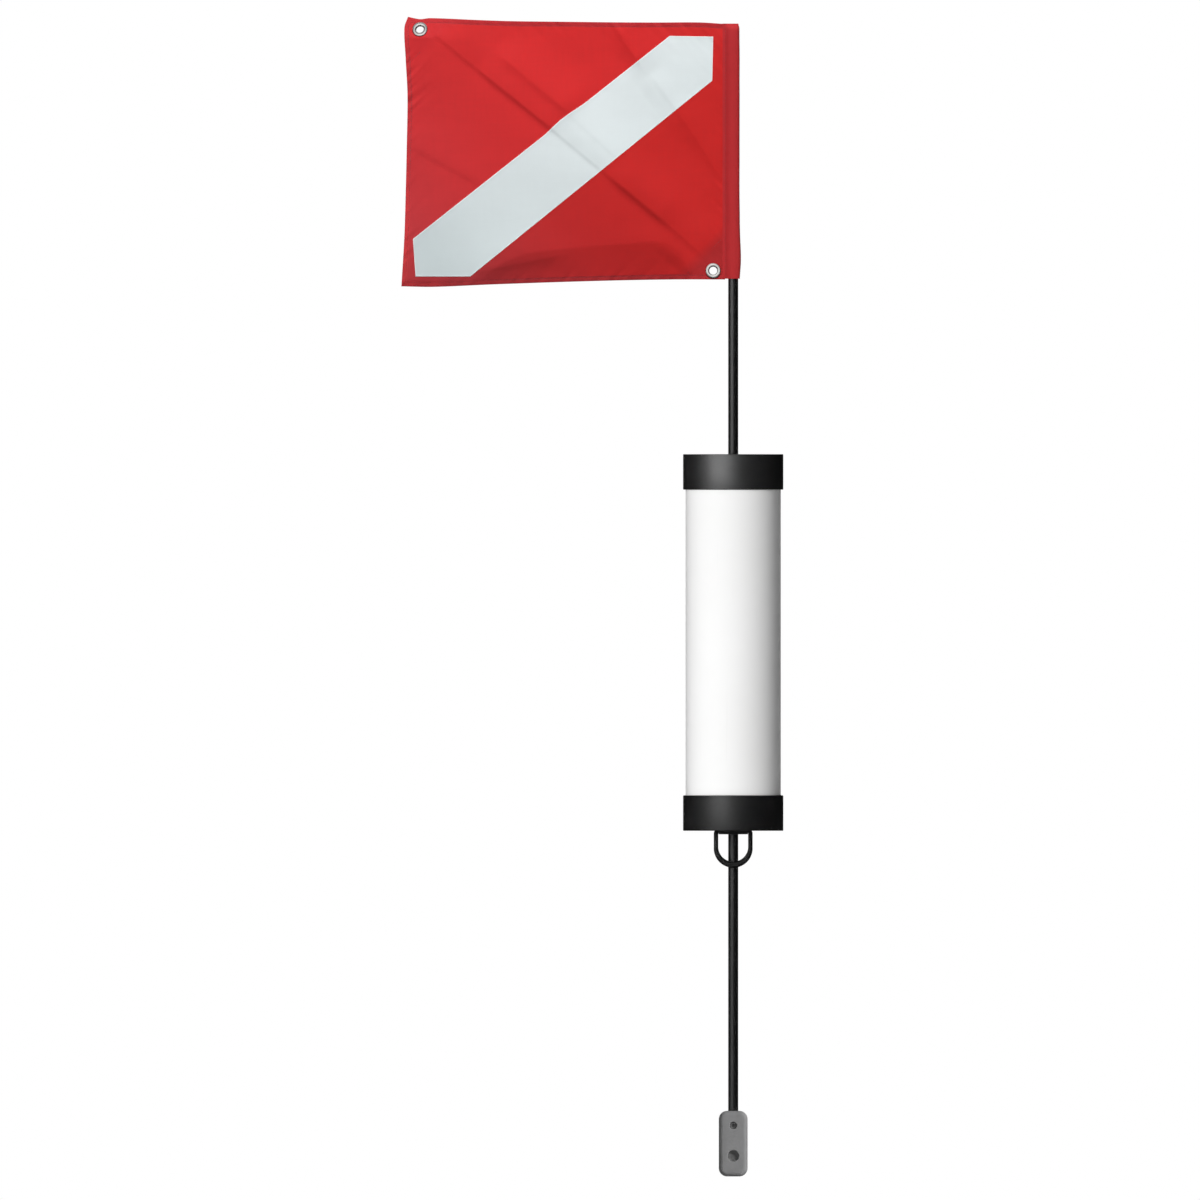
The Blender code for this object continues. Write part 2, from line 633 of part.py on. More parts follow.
def make_saddle():
    """A plate under the cap whose front is bent round the ring's bar."""
    middle = (PLATE_FRONT + PLATE_REAR) / 2
    half_length = (PLATE_REAR - PLATE_FRONT) / 2
    radius = PLATE_CORNER_RADIUS
    outline = []
    for turn, (sign_x, sign_y) in enumerate(((1, 1), (-1, 1), (-1, -1), (1, -1))):
        start = turn * math.pi / 2
        outline += arc(sign_x * (PLATE_HALF_WIDTH - radius), sign_y * (half_length - radius), radius,
                       start, start + math.pi / 2, PLATE_CORNER_STEPS)
    plate = flat_outline("ring_saddle", outline, SADDLE_THICKNESS / 2, BLACK_RING)
    plate.location = (0, middle, (PLATE_TOP + PLATE_BOTTOM) / 2)
    plate = curve_to_mesh(plate)
    lift = (PLATE_TOP + PLATE_BOTTOM) / 2 + HALF_FLOAT
    tail = PLATE_TOP + HALF_FLOAT
    bend = arc(0, 0, KNUCKLE_OUTER, math.pi, math.tau, SADDLE_BEND_STEPS)
    bend_back = arc(0, 0, KNUCKLE_INNER, math.tau, math.pi, SADDLE_BEND_STEPS)
    section = [(-KNUCKLE_OUTER, tail)] + bend + [(KNUCKLE_OUTER, lift), (KNUCKLE_INNER, lift)]
    section += bend_back + [(-KNUCKLE_INNER, tail)]
    knuckle = flat_outline("knuckle_joiner", section, KNUCKLE_HALF_WIDTH)
    knuckle.location = (0, RING_Y, -HALF_FLOAT)
    knuckle.rotation_euler = (math.pi / 2, 0, math.pi / 2)
    combine(plate, 'UNION', curve_to_mesh(knuckle))
    pole_hole = rod("saddle_pole_hole_cutter", POLE_HOLE_RADIUS, (0, 0, PLATE_BOTTOM - CUT_OVERRUN),
                    (0, 0, PLATE_TOP + CUT_OVERRUN), HOLE_SIDES)
    combine(plate, 'DIFFERENCE', pole_hole)
    for index, (x, y) in enumerate(screw_places(), start=1):
        hole = rod(f"saddle_hole_cutter_{index}", SCREW_HOLE_RADIUS, (x, y, PLATE_BOTTOM - CUT_OVERRUN),
                   (x, y, PLATE_TOP + CUT_OVERRUN), SCREW_SIDES)
        combine(plate, 'DIFFERENCE', hole)


def make_saddle_screws():
    """Pan-head screws through the saddle into the lower cap's hub."""
    seat = PLATE_BOTTOM - TOUCH_GAP
    point = PLATE_BOTTOM + SCREW_LENGTH
    head = SCREW_HEAD / 2
    rounded = SCREW_HEAD_HEIGHT / 2
    profile = [(0, point), (SCREW_RADIUS, point - SCREW_TIP), (SCREW_RADIUS, seat), (head, seat),
               (head, seat - rounded), (head - rounded, seat - SCREW_HEAD_HEIGHT),
               (0, seat - SCREW_HEAD_HEIGHT)]
    for index, (x, y) in enumerate(screw_places(), start=1):
        screw = turned(f"saddle_screw_{index}", profile, SCREW_SIDES, STAINLESS, closed=False)
        screw.location = (x, y, 0)


# Counterweight and its set screw

def make_counterweight():
    """A cast block with rounded corners and rims, bored for the pole, the set screw and a line."""
    shape = bmesh.new()
    bmesh.ops.create_cube(shape, size=1)
    size = Matrix.Diagonal((WEIGHT_WIDTH, WEIGHT_DEPTH, WEIGHT_HEIGHT, 1))
    bmesh.ops.transform(shape, matrix=size, verts=shape.verts)
    upright = [edge for edge in shape.edges
               if abs(edge.verts[0].co.y - edge.verts[1].co.y) > WEIGHT_DEPTH / 2]
    bmesh.ops.bevel(shape, geom=upright, offset=WEIGHT_CORNER_RADIUS, segments=WEIGHT_CORNER_STEPS,
                    profile=ROUND_PROFILE_SHARE, affect='EDGES')
    mesh = bpy.data.meshes.new("counterweight")
    shape.to_mesh(mesh)
    shape.free()
    weight = place("counterweight", mesh, GREY_CASTING)
    weight.location = (0, 0, WEIGHT_TOP - WEIGHT_HEIGHT / 2)
    rim = weight.modifiers.new("Rim", 'BEVEL')
    rim.width = WEIGHT_RIM_ROUND
    rim.segments = WEIGHT_RIM_STEPS
    rim.limit_method = 'ANGLE'
    rim.angle_limit = WEIGHT_RIM_ANGLE
    bore = rod("weight_bore_cutter", POLE_HOLE_RADIUS, (0, 0, WEIGHT_TOP - WEIGHT_BORE_DEPTH),
               (0, 0, WEIGHT_TOP + CUT_OVERRUN), HOLE_SIDES)
    screw_height = WEIGHT_TOP - SET_SCREW_DROP
    screw_hole = rod("set_screw_hole_cutter", SET_SCREW_HOLE / 2,
                     (0, WEIGHT_FRONT - CUT_OVERRUN, screw_height), (0, 0, screw_height), HOLE_SIDES)
    line_height = WEIGHT_TOP - LINE_HOLE_DROP
    line_hole = rod("line_hole_cutter", LINE_HOLE / 2, (0, WEIGHT_FRONT - CUT_OVERRUN, line_height),
                    (0, WEIGHT_FRONT + LINE_HOLE_DEPTH, line_height), HOLE_SIDES)
    combine(weight, 'DIFFERENCE', bore, screw_hole, line_hole)


def make_set_screw():
    """The socket set screw that clamps the weight on the pole."""
    radius = SET_SCREW_HOLE / 2 - TOUCH_GAP
    height = WEIGHT_TOP - SET_SCREW_DROP
    rear = -POLE_RADIUS - TOUCH_GAP
    front = rear - SET_SCREW_LENGTH
    screw = rod("weight_set_screw", radius, (0, front, height), (0, rear, height), HOLE_SIDES, STAINLESS)
    socket = rod("set_screw_socket_cutter", SET_SCREW_SOCKET / 2, (0, front - CUT_OVERRUN, height),
                 (0, front + SET_SCREW_SOCKET_DEPTH, height), SET_SCREW_SOCKET_SIDES)
    combine(screw, 'DIFFERENCE', socket)


# Flag: how the cloth lies

def smooth_step(value):
    """Rise from 0 to 1 with level ends."""
    held = min(1, max(0, value))
    return held * held * (3 - 2 * held)


def table_value(shares, place_share):
    """Read a table of (place, value) shares between its entries."""
    for (start, low), (end, high) in zip(shares, shares[1:]):
        if place_share <= end:
            return low + (high - low) * (place_share - start) / (end - start)
    return shares[-1][1]


def panel_place(across, up):
    """World X and Z of a place on the panel, as shares from the fly edge and from the bottom."""
    fly_edge = PANEL_FLY_X + FLAG_FLY * table_value(FLY_EDGE_SHARES, up)
    bottom = FLAG_BOTTOM + FLAG_HOIST * table_value(BOTTOM_EDGE_SHARES, across)
    top = FLAG_TOP + FLAG_HOIST * table_value(TOP_EDGE_SHARES, across)
    return fly_edge + (PANEL_HOIST_X - fly_edge) * across, bottom + (top - bottom) * up


def from_stiffener(x, z):
    """Distance from the stiffener's line, positive above it."""
    return (x - UPPER_GROMMET_X) * -ALONG_Z + (z - UPPER_GROMMET_Z) * ALONG_X


def ramp(value, softness):
    """Zero below zero, and a straight slope above it, with a soft bend between them."""
    held = max(0, value)
    if held < softness:
        return held * held / (2 * softness)
    return held - softness / 2


def hoist_fold(x, z):
    """A ridge that runs down from the top edge to the sleeve, steeper on its fly side."""
    start_x = PANEL_HOIST_X + HOIST_FOLD_START[0]
    start_z = FLAG_TOP + HOIST_FOLD_START[1]
    run_x = PANEL_HOIST_X + HOIST_FOLD_END[0] - start_x
    run_z = FLAG_TOP + HOIST_FOLD_END[1] - start_z
    length = math.hypot(run_x, run_z)
    along = ((x - start_x) * run_x + (z - start_z) * run_z) / length
    beside = ((z - start_z) * run_x - (x - start_x) * run_z) / length
    side_run = HOIST_FOLD_BACK_RUN if beside > 0 else HOIST_FOLD_FRONT_RUN
    fade = smooth_step((along + HOIST_FOLD_FADE) / HOIST_FOLD_FADE)
    fade *= smooth_step((length + HOIST_FOLD_FADE - along) / HOIST_FOLD_FADE)
    return -HOIST_FOLD_RISE * fade * smooth_step(1 - abs(beside) / side_run)


def roll_line(x):
    """Height of the fold line above the lower edge."""
    place = x - PANEL_HOIST_X
    if place <= ROLL_LINE[0][0]:
        return FLAG_BOTTOM + ROLL_LINE[0][1]
    return FLAG_BOTTOM + table_value(ROLL_LINE, place)


def cloth_depth(x, z):
    """How far back the cloth lies: level at the sleeve and the grommets, with its folds between them."""
    distance = from_stiffener(x, z)
    crest = -CREST_RISE * smooth_step((distance - RIDGE_FLAT) / CREST_RUN)
    crest += (CREST_RISE + SAG_ABOVE) * smooth_step((distance - CREST_TOP) / SAG_ABOVE_RUN)
    sag = SAG_BELOW * smooth_step((-distance - RIDGE_FLAT) / SAG_BELOW_RUN)
    roll = ROLL_SLOPE_SHARE * ramp(roll_line(x) - z, ROLL_SOFTNESS)
    folds = crest + sag + hoist_fold(x, z) + roll * smooth_step((-distance - RIDGE_FLAT) / CREST_RUN)
    calm = smooth_step(max(x - UPPER_BLOCK_X, UPPER_BLOCK_Z - z) / CALM_RUN)
    calm *= smooth_step(max(LOWER_BLOCK_X - x, z - LOWER_BLOCK_Z) / CALM_RUN)
    calm *= smooth_step((PANEL_HOIST_X - SEAM_WIDTH - x) / HOIST_RUN)
    up = max(0, z - UPPER_BLOCK_Z) * (1 - smooth_step((x - UPPER_BLOCK_X) / CURL_FADE))
    out = max(0, UPPER_BLOCK_X - x) * (1 - smooth_step((UPPER_BLOCK_Z - z) / CURL_FADE))
    return folds * calm + CURL_UP_SLOPE_SHARE * up + CURL_FLY_SLOPE_SHARE * out


def cloth_surface():
    """The panel as one open sheet of triangles, which every layer of the flag follows."""
    sheet = bmesh.new()
    grid = []
    for row in range(ROW_STEPS + 1):
        places = [panel_place(column / COLUMN_STEPS, row / ROW_STEPS) for column in range(COLUMN_STEPS + 1)]
        grid.append([sheet.verts.new((x, 0, z)) for x, z in places])
    for lower, upper in zip(grid, grid[1:]):
        for index in range(COLUMN_STEPS):
            sheet.faces.new((lower[index], lower[index + 1], upper[index + 1], upper[index]))
    for distance in (-RIDGE_FLAT, RIDGE_FLAT, RIDGE_FLAT + CREST_RUN / 2, CREST_TOP):
        cut_across(sheet, UPPER_GROMMET_X - ALONG_Z * distance, UPPER_GROMMET_Z + ALONG_X * distance,
                   -ALONG_Z, ALONG_X)
    for x, z in ((UPPER_BLOCK_X, UPPER_BLOCK_Z), (LOWER_BLOCK_X, LOWER_BLOCK_Z)):
        cut_across(sheet, x, z, 1, 0)
        cut_across(sheet, x, z, 0, 1)
    bmesh.ops.triangulate(sheet, faces=sheet.faces[:])
    for vert in sheet.verts:
        vert.co.y = cloth_depth(vert.co.x, vert.co.z)
    return sheet


def keep_side(sheet, x, z, normal_x, normal_z):
    """Cut the sheet along a line in the flag's plane and drop what lies past it."""
    bmesh.ops.bisect_plane(sheet, geom=sheet.verts[:] + sheet.edges[:] + sheet.faces[:],
                           dist=MERGE_DISTANCE, plane_co=(x, 0, z), plane_no=(normal_x, 0, normal_z),
                           clear_outer=True)


def layer(name, sheet, front, rear, material):
    """A closed layer of cloth: the sheet at two depths, joined round its rim."""
    solid = sheet.copy()
    extruded = bmesh.ops.extrude_face_region(solid, geom=solid.faces[:], use_keep_orig=True)
    moved = {item for item in extruded["geom"] if isinstance(item, bmesh.types.BMVert)}
    for vert in solid.verts:
        vert.co.y += rear if vert in moved else front
    bmesh.ops.recalc_face_normals(solid, faces=solid.faces[:])
    mesh = bpy.data.meshes.new(name)
    solid.to_mesh(mesh)
    solid.free()
    return place(name, mesh, material)


def grommet_frames():
    """Each grommet's name, its centre on the cloth, and the direction that its front faces."""
    upper_centre = (UPPER_GROMMET_X, cloth_depth(UPPER_GROMMET_X, UPPER_GROMMET_Z), UPPER_GROMMET_Z)
    lower_centre = (LOWER_GROMMET_X, cloth_depth(LOWER_GROMMET_X, LOWER_GROMMET_Z), LOWER_GROMMET_Z)
    upper_front = Vector((-CURL_FLY_SLOPE_SHARE, -1, CURL_UP_SLOPE_SHARE)).normalized()
    lower_front = Vector((0, -1, 0))
    return (("upper", Vector(upper_centre), upper_front), ("lower", Vector(lower_centre), lower_front))


def eyelet_hole(name, centre, front):
    """A cutter for the hole that a grommet's barrel passes through."""
    reach = front * (GROMMET_RADIUS / 2)
    return rod(name, EYELET_HOLE_RADIUS, centre - reach, centre + reach, GROMMET_SIDES)


def sleeve_outline(radius, throat_half):
    """A teardrop round the pole, with its throat as a point or as a flat tail."""
    loop = arc(0, 0, radius, -math.pi + SLEEVE_TAPER, math.pi - SLEEVE_TAPER, SLEEVE_ARC_STEPS)
    if throat_half == 0:
        return loop + [(THROAT_X, 0)]
    return loop + [(THROAT_X, throat_half), (SEAM_END_X, throat_half),
                   (SEAM_END_X, -throat_half), (THROAT_X, -throat_half)]


def prism(name, outline, bottom, top):
    """An upright solid of one section."""
    solid = flat_outline(name, outline, (top - bottom) / 2)
    solid.location = (0, 0, (top + bottom) / 2)
    return curve_to_mesh(solid)


def make_flag_field(sheet):
    """The red panel and its sleeve, which is sewn shut above the pole's tip."""
    field = layer("flag_field", sheet, -HALF_CLOTH, HALF_CLOTH, RED_NYLON)
    sleeve = prism("sleeve_joiner", sleeve_outline(SLEEVE_OUTER, SEAM_THICKNESS / 2), FLAG_BOTTOM, FLAG_TOP)
    hollow = prism("sleeve_hollow_cutter", sleeve_outline(SLEEVE_INNER, 0),
                   FLAG_BOTTOM - CUT_OVERRUN, SLEEVE_CEILING)
    combine(field, 'UNION', sleeve)
    combine(field, 'DIFFERENCE', hollow)
    for name, centre, front in grommet_frames():
        combine(field, 'DIFFERENCE', eyelet_hole(name + "_eyelet_hole_cutter", centre, front))
    return field


def make_bands(sheet):
    """The white band on each face of the flag, trimmed square at its ends."""
    band = sheet.copy()
    centre_x = (PANEL_FLY_X + PANEL_HOIST_X) / 2
    centre_z = (FLAG_BOTTOM + FLAG_TOP) / 2 - BAND_DROP
    normal = (-math.sin(BAND_TILT), math.cos(BAND_TILT))
    half = BAND_WIDTH / 2
    keep_side(band, centre_x + normal[0] * half, centre_z + normal[1] * half, *normal)
    keep_side(band, centre_x - normal[0] * half, centre_z - normal[1] * half, -normal[0], -normal[1])
    keep_side(band, 0, FLAG_TOP - BAND_TOP_MARGIN, 0, 1)
    keep_side(band, 0, FLAG_BOTTOM + BAND_BOTTOM_MARGIN, 0, -1)
    keep_side(band, PANEL_HOIST_X - BAND_SEAM_MARGIN, 0, 1, 0)
    keep_side(band, PANEL_FLY_X + BAND_FLY_MARGIN, 0, -1, 0)
    near = HALF_CLOTH + TOUCH_GAP
    front = layer("flag_stripe_front", band, -near - BAND_THICKNESS, -near, WHITE_BAND)
    rear = layer("flag_stripe_rear", band, near, near + BAND_THICKNESS, WHITE_BAND)
    band.free()
    return front, rear


def make_stiffener():
    """The rod that holds the flag out, straight from one corner pocket to the other."""
    inset_x = ALONG_X * STIFFENER_INSET
    inset_z = ALONG_Z * STIFFENER_INSET
    return rod("flag_stiffener", STIFFENER_RADIUS,
               (UPPER_GROMMET_X + inset_x, STIFFENER_Y, UPPER_GROMMET_Z + inset_z),
               (LOWER_GROMMET_X - inset_x, STIFFENER_Y, LOWER_GROMMET_Z - inset_z),
               STIFFENER_SIDES, BLACK_GLASS_FIBRE)


def cut_across(sheet, x, z, normal_x, normal_z):
    """Add an edge along a line in the flag's plane, with nothing dropped."""
    bmesh.ops.bisect_plane(sheet, geom=sheet.verts[:] + sheet.edges[:] + sheet.faces[:],
                           dist=MERGE_DISTANCE, plane_co=(x, 0, z), plane_no=(normal_x, 0, normal_z))


def between(value, low, high):
    """Where a value lies between two others, as a share held from 0 to 1."""
    return min(1, max(0, (value - low) / (high - low)))


def raise_pocket(corner, grommet, way):
    """Lift the corner's cloth over the stiffener's end, in a tunnel that closes before the grommet."""
    lift = 2 * STIFFENER_RADIUS + BAND_THICKNESS + TOUCH_GAP
    full = STIFFENER_INSET - TOUCH_GAP
    for distance in (-POCKET_FOOT, -POCKET_TOP, POCKET_TOP, POCKET_FOOT):
        cut_across(corner, UPPER_GROMMET_X - ALONG_Z * distance, UPPER_GROMMET_Z + ALONG_X * distance,
                   -ALONG_Z, ALONG_X)
    for reach in (full - POCKET_END_RUN, full):
        cut_across(corner, grommet.x + way * ALONG_X * reach, grommet.z + way * ALONG_Z * reach,
                   ALONG_X, ALONG_Z)
    bmesh.ops.triangulate(corner, faces=corner.faces[:])
    for vert in corner.verts:
        reach = way * ((vert.co.x - grommet.x) * ALONG_X + (vert.co.z - grommet.z) * ALONG_Z)
        side = abs(from_stiffener(vert.co.x, vert.co.z))
        vert.co.y += lift * between(reach, full - POCKET_END_RUN, full) * between(-side, -POCKET_FOOT,
                                                                                  -POCKET_TOP)


def make_patch(name, sheet, corner_x, corner_z, way, centre, front):
    """A triangle of cloth on the back of a corner, which is the pocket for the stiffener's end."""
    slant = math.sqrt(0.5)
    corner = sheet.copy()
    keep_side(corner, corner_x + way * PATCH_LEG, corner_z, way * slant, -way * slant)
    keep_side(corner, SEAM_END_X - PATCH_SEAM_GAP, 0, 1, 0)
    raise_pocket(corner, centre, way)
    near = HALF_CLOTH + TOUCH_GAP
    patch = layer(name, corner, near, near + PATCH_THICKNESS, RED_NYLON)
    corner.free()
    return combine(patch, 'DIFFERENCE', eyelet_hole(name + "_hole_cutter", centre, front))


def eyelet_profile():
    """Section of a grommet: a domed flange in front, a barrel, and a curled rim behind the washer."""
    bore = GROMMET_BORE / 2
    seat = HALF_CLOTH + TOUCH_GAP
    curl_top = -(seat + PATCH_THICKNESS + TOUCH_GAP + GROMMET_WASHER_THICKNESS + TOUCH_GAP)
    curl_bottom = curl_top - GROMMET_CURL_HEIGHT
    middle = (bore + GROMMET_RADIUS) / 2
    half_width = (GROMMET_RADIUS - bore) / 2
    dome = []
    for step in range(GROMMET_DOME_STEPS + 1):
        angle = math.pi * (1 - step / GROMMET_DOME_STEPS)
        height = seat + GROMMET_EDGE + GROMMET_DOME * math.sin(angle)
        dome.append((middle + half_width * math.cos(angle), height))
    rear = [(GROMMET_RADIUS, seat), (BARREL_RADIUS, seat), (BARREL_RADIUS, curl_top),
            (BARREL_RADIUS + GROMMET_CURL_WIDTH, curl_top),
            (BARREL_RADIUS + GROMMET_CURL_WIDTH, (curl_top + curl_bottom) / 2),
            (BARREL_RADIUS + GROMMET_CURL_WIDTH / 2, curl_bottom), (bore, curl_bottom)]
    return dome + rear


def make_grommets():
    """Two grommets, each an eyelet and the washer that it is set on."""
    washer_top = -(HALF_CLOTH + TOUCH_GAP + PATCH_THICKNESS + TOUCH_GAP)
    washer_bottom = washer_top - GROMMET_WASHER_THICKNESS
    pieces = []
    for name, centre, front in grommet_frames():
        eyelet = turned(f"grommet_{name}_eyelet", eyelet_profile(), GROMMET_SIDES, NICKEL)
        washer = turned(f"grommet_{name}_washer",
                        ring_profile(EYELET_HOLE_RADIUS, GROMMET_RADIUS, washer_top, washer_bottom),
                        GROMMET_SIDES, NICKEL)
        for piece in (eyelet, washer):
            piece.location = centre
            piece.rotation_euler = front.to_track_quat('Z', 'Y').to_euler()
            pieces.append(piece)
    return pieces


def make_flag():
    """Everything that turns about the pole."""
    sheet = cloth_surface()
    field = make_flag_field(sheet)
    front_band, rear_band = make_bands(sheet)
    upper, lower = grommet_frames()
    upper_patch = make_patch("corner_patch_upper", sheet, PANEL_FLY_X, FLAG_TOP, 1, upper[1], upper[2])
    lower_patch = make_patch("corner_patch_lower", sheet, PANEL_HOIST_X, FLAG_BOTTOM, -1, lower[1], lower[2])
    sheet.free()
    hanging = [field, front_band, rear_band, upper_patch, lower_patch, make_stiffener()]
    hanging += make_grommets()
    carry(pivot("flag_pivot", (0, 0, SLEEVE_CEILING)), *hanging)


def build():
    make_caps()
    make_float_tube()
    make_core()
    make_bush("top_bush", 0, (0, 0, HALF_FLOAT), (0, 0, 0))
    make_bush("bottom_bush", RECESS_DEPTH, (0, 0, -HALF_FLOAT), (math.pi, 0, 0))
    make_pole_stop("upper", 1)
    make_pole_stop("lower", -1)
    make_pole()
    make_pole_plugs()
    make_tow_ring()
    make_saddle()
    make_saddle_screws()
    make_counterweight()
    make_set_screw()
    make_flag()
    for obj in [item for item in PARTS.objects if item.type == 'MESH']:
        settle(obj)


build()
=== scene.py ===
# %% [markdown]
# # A dive flag float, dressed
#
# The object is a floating marker. A black glass-fibre pole runs through a white pipe that is closed by two
# black caps. A red flag with a white diagonal band turns on the pole's top, a black tow ring hangs under the
# lower cap, and a cast weight sits on the pole's foot.
#
# The packed CAD model comes in as a fixed frame. This lesson puts finer pieces over its solids and gives every
# surface its finish. Each piece could be modelled by hand, but here each one is built from its sizes, so that
# a reader can change a number and run the lesson again.

# %% Load the frame
import math

import bmesh
import bpy
from mathutils import Matrix, Vector, noise


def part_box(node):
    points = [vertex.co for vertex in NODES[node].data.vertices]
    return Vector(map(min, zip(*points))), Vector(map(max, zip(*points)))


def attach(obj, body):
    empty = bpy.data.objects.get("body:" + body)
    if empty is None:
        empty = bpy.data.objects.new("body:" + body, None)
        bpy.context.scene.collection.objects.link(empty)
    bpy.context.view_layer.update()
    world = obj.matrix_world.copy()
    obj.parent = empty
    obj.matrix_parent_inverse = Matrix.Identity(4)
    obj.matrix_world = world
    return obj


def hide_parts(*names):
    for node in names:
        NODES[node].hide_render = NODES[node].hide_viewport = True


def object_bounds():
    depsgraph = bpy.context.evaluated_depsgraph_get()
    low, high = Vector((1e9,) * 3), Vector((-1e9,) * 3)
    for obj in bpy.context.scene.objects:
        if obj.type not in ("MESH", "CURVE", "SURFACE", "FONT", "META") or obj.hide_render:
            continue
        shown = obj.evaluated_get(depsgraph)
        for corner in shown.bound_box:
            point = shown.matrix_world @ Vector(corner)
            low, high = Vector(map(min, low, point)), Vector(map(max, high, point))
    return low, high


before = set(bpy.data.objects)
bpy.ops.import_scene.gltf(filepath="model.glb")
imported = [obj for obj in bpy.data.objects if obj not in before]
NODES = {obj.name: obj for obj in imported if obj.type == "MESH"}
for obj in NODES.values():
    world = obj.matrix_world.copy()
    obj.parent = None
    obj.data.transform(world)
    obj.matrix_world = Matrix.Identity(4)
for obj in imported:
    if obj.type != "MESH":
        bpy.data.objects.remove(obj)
CAD_BOX = [list(corner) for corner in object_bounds()]
print("CAD nodes:", len(NODES), "box:", CAD_BOX)

# %% [markdown]
# ## Camera
#
# The photograph shows no perspective: the caps' ends and the flag's edges stay straight lines. So the camera is
# orthographic and looks level along +Y. Its width comes from the pipe, which is 95.15 pixels wide in the picture
# and 114.3 mm in the model. The middle of the picture is then placed from two pixels that are easy to find: the
# pole's axis, and the middle of the float between its caps' faces.

# %% Picture scale and camera
PICTURE_SIDE_PX = 1200
PIPE_WIDTH_PX = 95.15
POLE_AXIS_PX = 733.2
FLOAT_MIDDLE_PX = 642.5
CAMERA_DISTANCE = 3.0

pipe_low, pipe_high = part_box("float_tube")
METRES_PER_PX = (pipe_high.x - pipe_low.x) / PIPE_WIDTH_PX


def from_picture(column, row):
    """World X and Z of a place in the photograph."""
    return (column - POLE_AXIS_PX) * METRES_PER_PX, (FLOAT_MIDDLE_PX - row) * METRES_PER_PX


camera_data = bpy.data.cameras.new("camera")
camera_data.type = 'ORTHO'
camera_data.ortho_scale = PICTURE_SIDE_PX * METRES_PER_PX
camera = bpy.data.objects.new("camera", camera_data)
bpy.context.scene.collection.objects.link(camera)
middle_x, middle_z = from_picture(PICTURE_SIDE_PX / 2, PICTURE_SIDE_PX / 2)
camera.location = (middle_x, -CAMERA_DISTANCE, middle_z)
camera.rotation_euler = (math.pi / 2, 0, 0)
bpy.context.scene.camera = camera
bpy.context.scene.view_settings.view_transform = 'Standard'
print(f"camera: {METRES_PER_PX * 1000:.3f} mm per pixel, {camera_data.ortho_scale:.3f} m across")

# %% [markdown]
# ## Light
#
# In the photograph the pipe is brightest left of its middle and falls to mid grey at its right edge, the black
# parts carry one long soft highlight, the cloth shows its folds as if lit from above, and the weight has its
# light on the right. One lamp can't do all that. A studio lights each part by itself and keeps the light off
# its neighbours with black cards, and light linking does the same here: at the end of the lesson, each lamp is
# told which pieces it lights. Some lamps only give shading and some only highlights, which is a switch on the
# lamp. Suns are used rather than panels, since they light the whole 1.4 m of the object evenly.

# %% Lamps
FLOAT_LAMP = {"azimuth": -27, "height": 8, "strength": 2.80, "softness": 20}
SHEEN_LAMP = {"azimuth": -31.4, "height": 2, "strength": 2.8, "softness": 50}
TOP_CAP_LAMP = {"azimuth": -31.4, "height": 2, "strength": 3.75, "softness": 50}
FLAG_LAMP = {"azimuth": -6, "height": 48, "strength": 3.4, "softness": 18}
NICKEL_LAMP = {"azimuth": -12, "height": 10, "strength": 1.35, "softness": 76}
WEIGHT_LAMP = {"azimuth": 58, "height": 26, "strength": 3.0, "softness": 18}
WEIGHT_FILL = {"azimuth": 14, "height": 12, "strength": 0.5, "softness": 10}
BACK_LAMP = {"azimuth": 180, "height": 20, "strength": 2.0, "softness": 40}


def add_sun(name, azimuth, height, strength, softness):
    """A sun given by where it stands, in degrees: 0 is in front, negative is to the left."""
    turn, lift = math.radians(azimuth), math.radians(height)
    stand = Vector((math.sin(turn) * math.cos(lift), -math.cos(turn) * math.cos(lift), math.sin(lift)))
    data = bpy.data.lights.new(name, 'SUN')
    data.energy = strength
    data.angle = math.radians(softness)
    lamp = bpy.data.objects.new(name, data)
    bpy.context.scene.collection.objects.link(lamp)
    lamp.location = stand * CAMERA_DISTANCE
    lamp.rotation_euler = (-stand).to_track_quat('-Z', 'Y').to_euler()
    return lamp


float_lamp = add_sun("float_lamp", **FLOAT_LAMP)
sheen_lamp = add_sun("sheen_lamp", **SHEEN_LAMP)
top_cap_lamp = add_sun("top_cap_lamp", **TOP_CAP_LAMP)
flag_lamp = add_sun("flag_lamp", **FLAG_LAMP)
nickel_lamp = add_sun("nickel_lamp", **NICKEL_LAMP)
weight_lamp = add_sun("weight_lamp", **WEIGHT_LAMP)
weight_fill = add_sun("weight_fill", **WEIGHT_FILL)
back_lamp = add_sun("back_lamp", **BACK_LAMP)
for lamp in (float_lamp, back_lamp):
    lamp.visible_glossy = False
for lamp in (sheen_lamp, top_cap_lamp):
    lamp.visible_diffuse = False

# %% [markdown]
# ## World and floor
#
# The background is pure white, yet the black caps reflect almost none of it: the studio round the object was
# dark but for a pale ceiling. So the world shows white to the camera and through clear things, that ceiling to
# reflections, and only a low level as light. The floor is a thin plane under the weight. It is seen edge on from
# the camera's height, and takes the shadow in views from above.

# %% World
AMBIENT_LEVEL = 0.125
REFLECTED_LEVEL = 0.004
REFLECTED_CEILING = 0.40
CEILING_LOW = 0.45
CEILING_FULL = 0.90
FLOOR_REFLECTED_LEVEL = 0.06
FLOOR_SHARE_OF_LIGHT = 0.36
FLOOR_SHARE_REFLECTED = 0.03
FLOOR_GLOW = 0.56
FLOOR_REACH = 6.0
FLOOR_GAP = 0.0002


def add_node(tree, kind, at=(0, 0), **settings):
    """One shader node, with its settings."""
    node = tree.nodes.new(kind)
    node.location = at
    for name, value in settings.items():
        setattr(node, name, value)
    return node


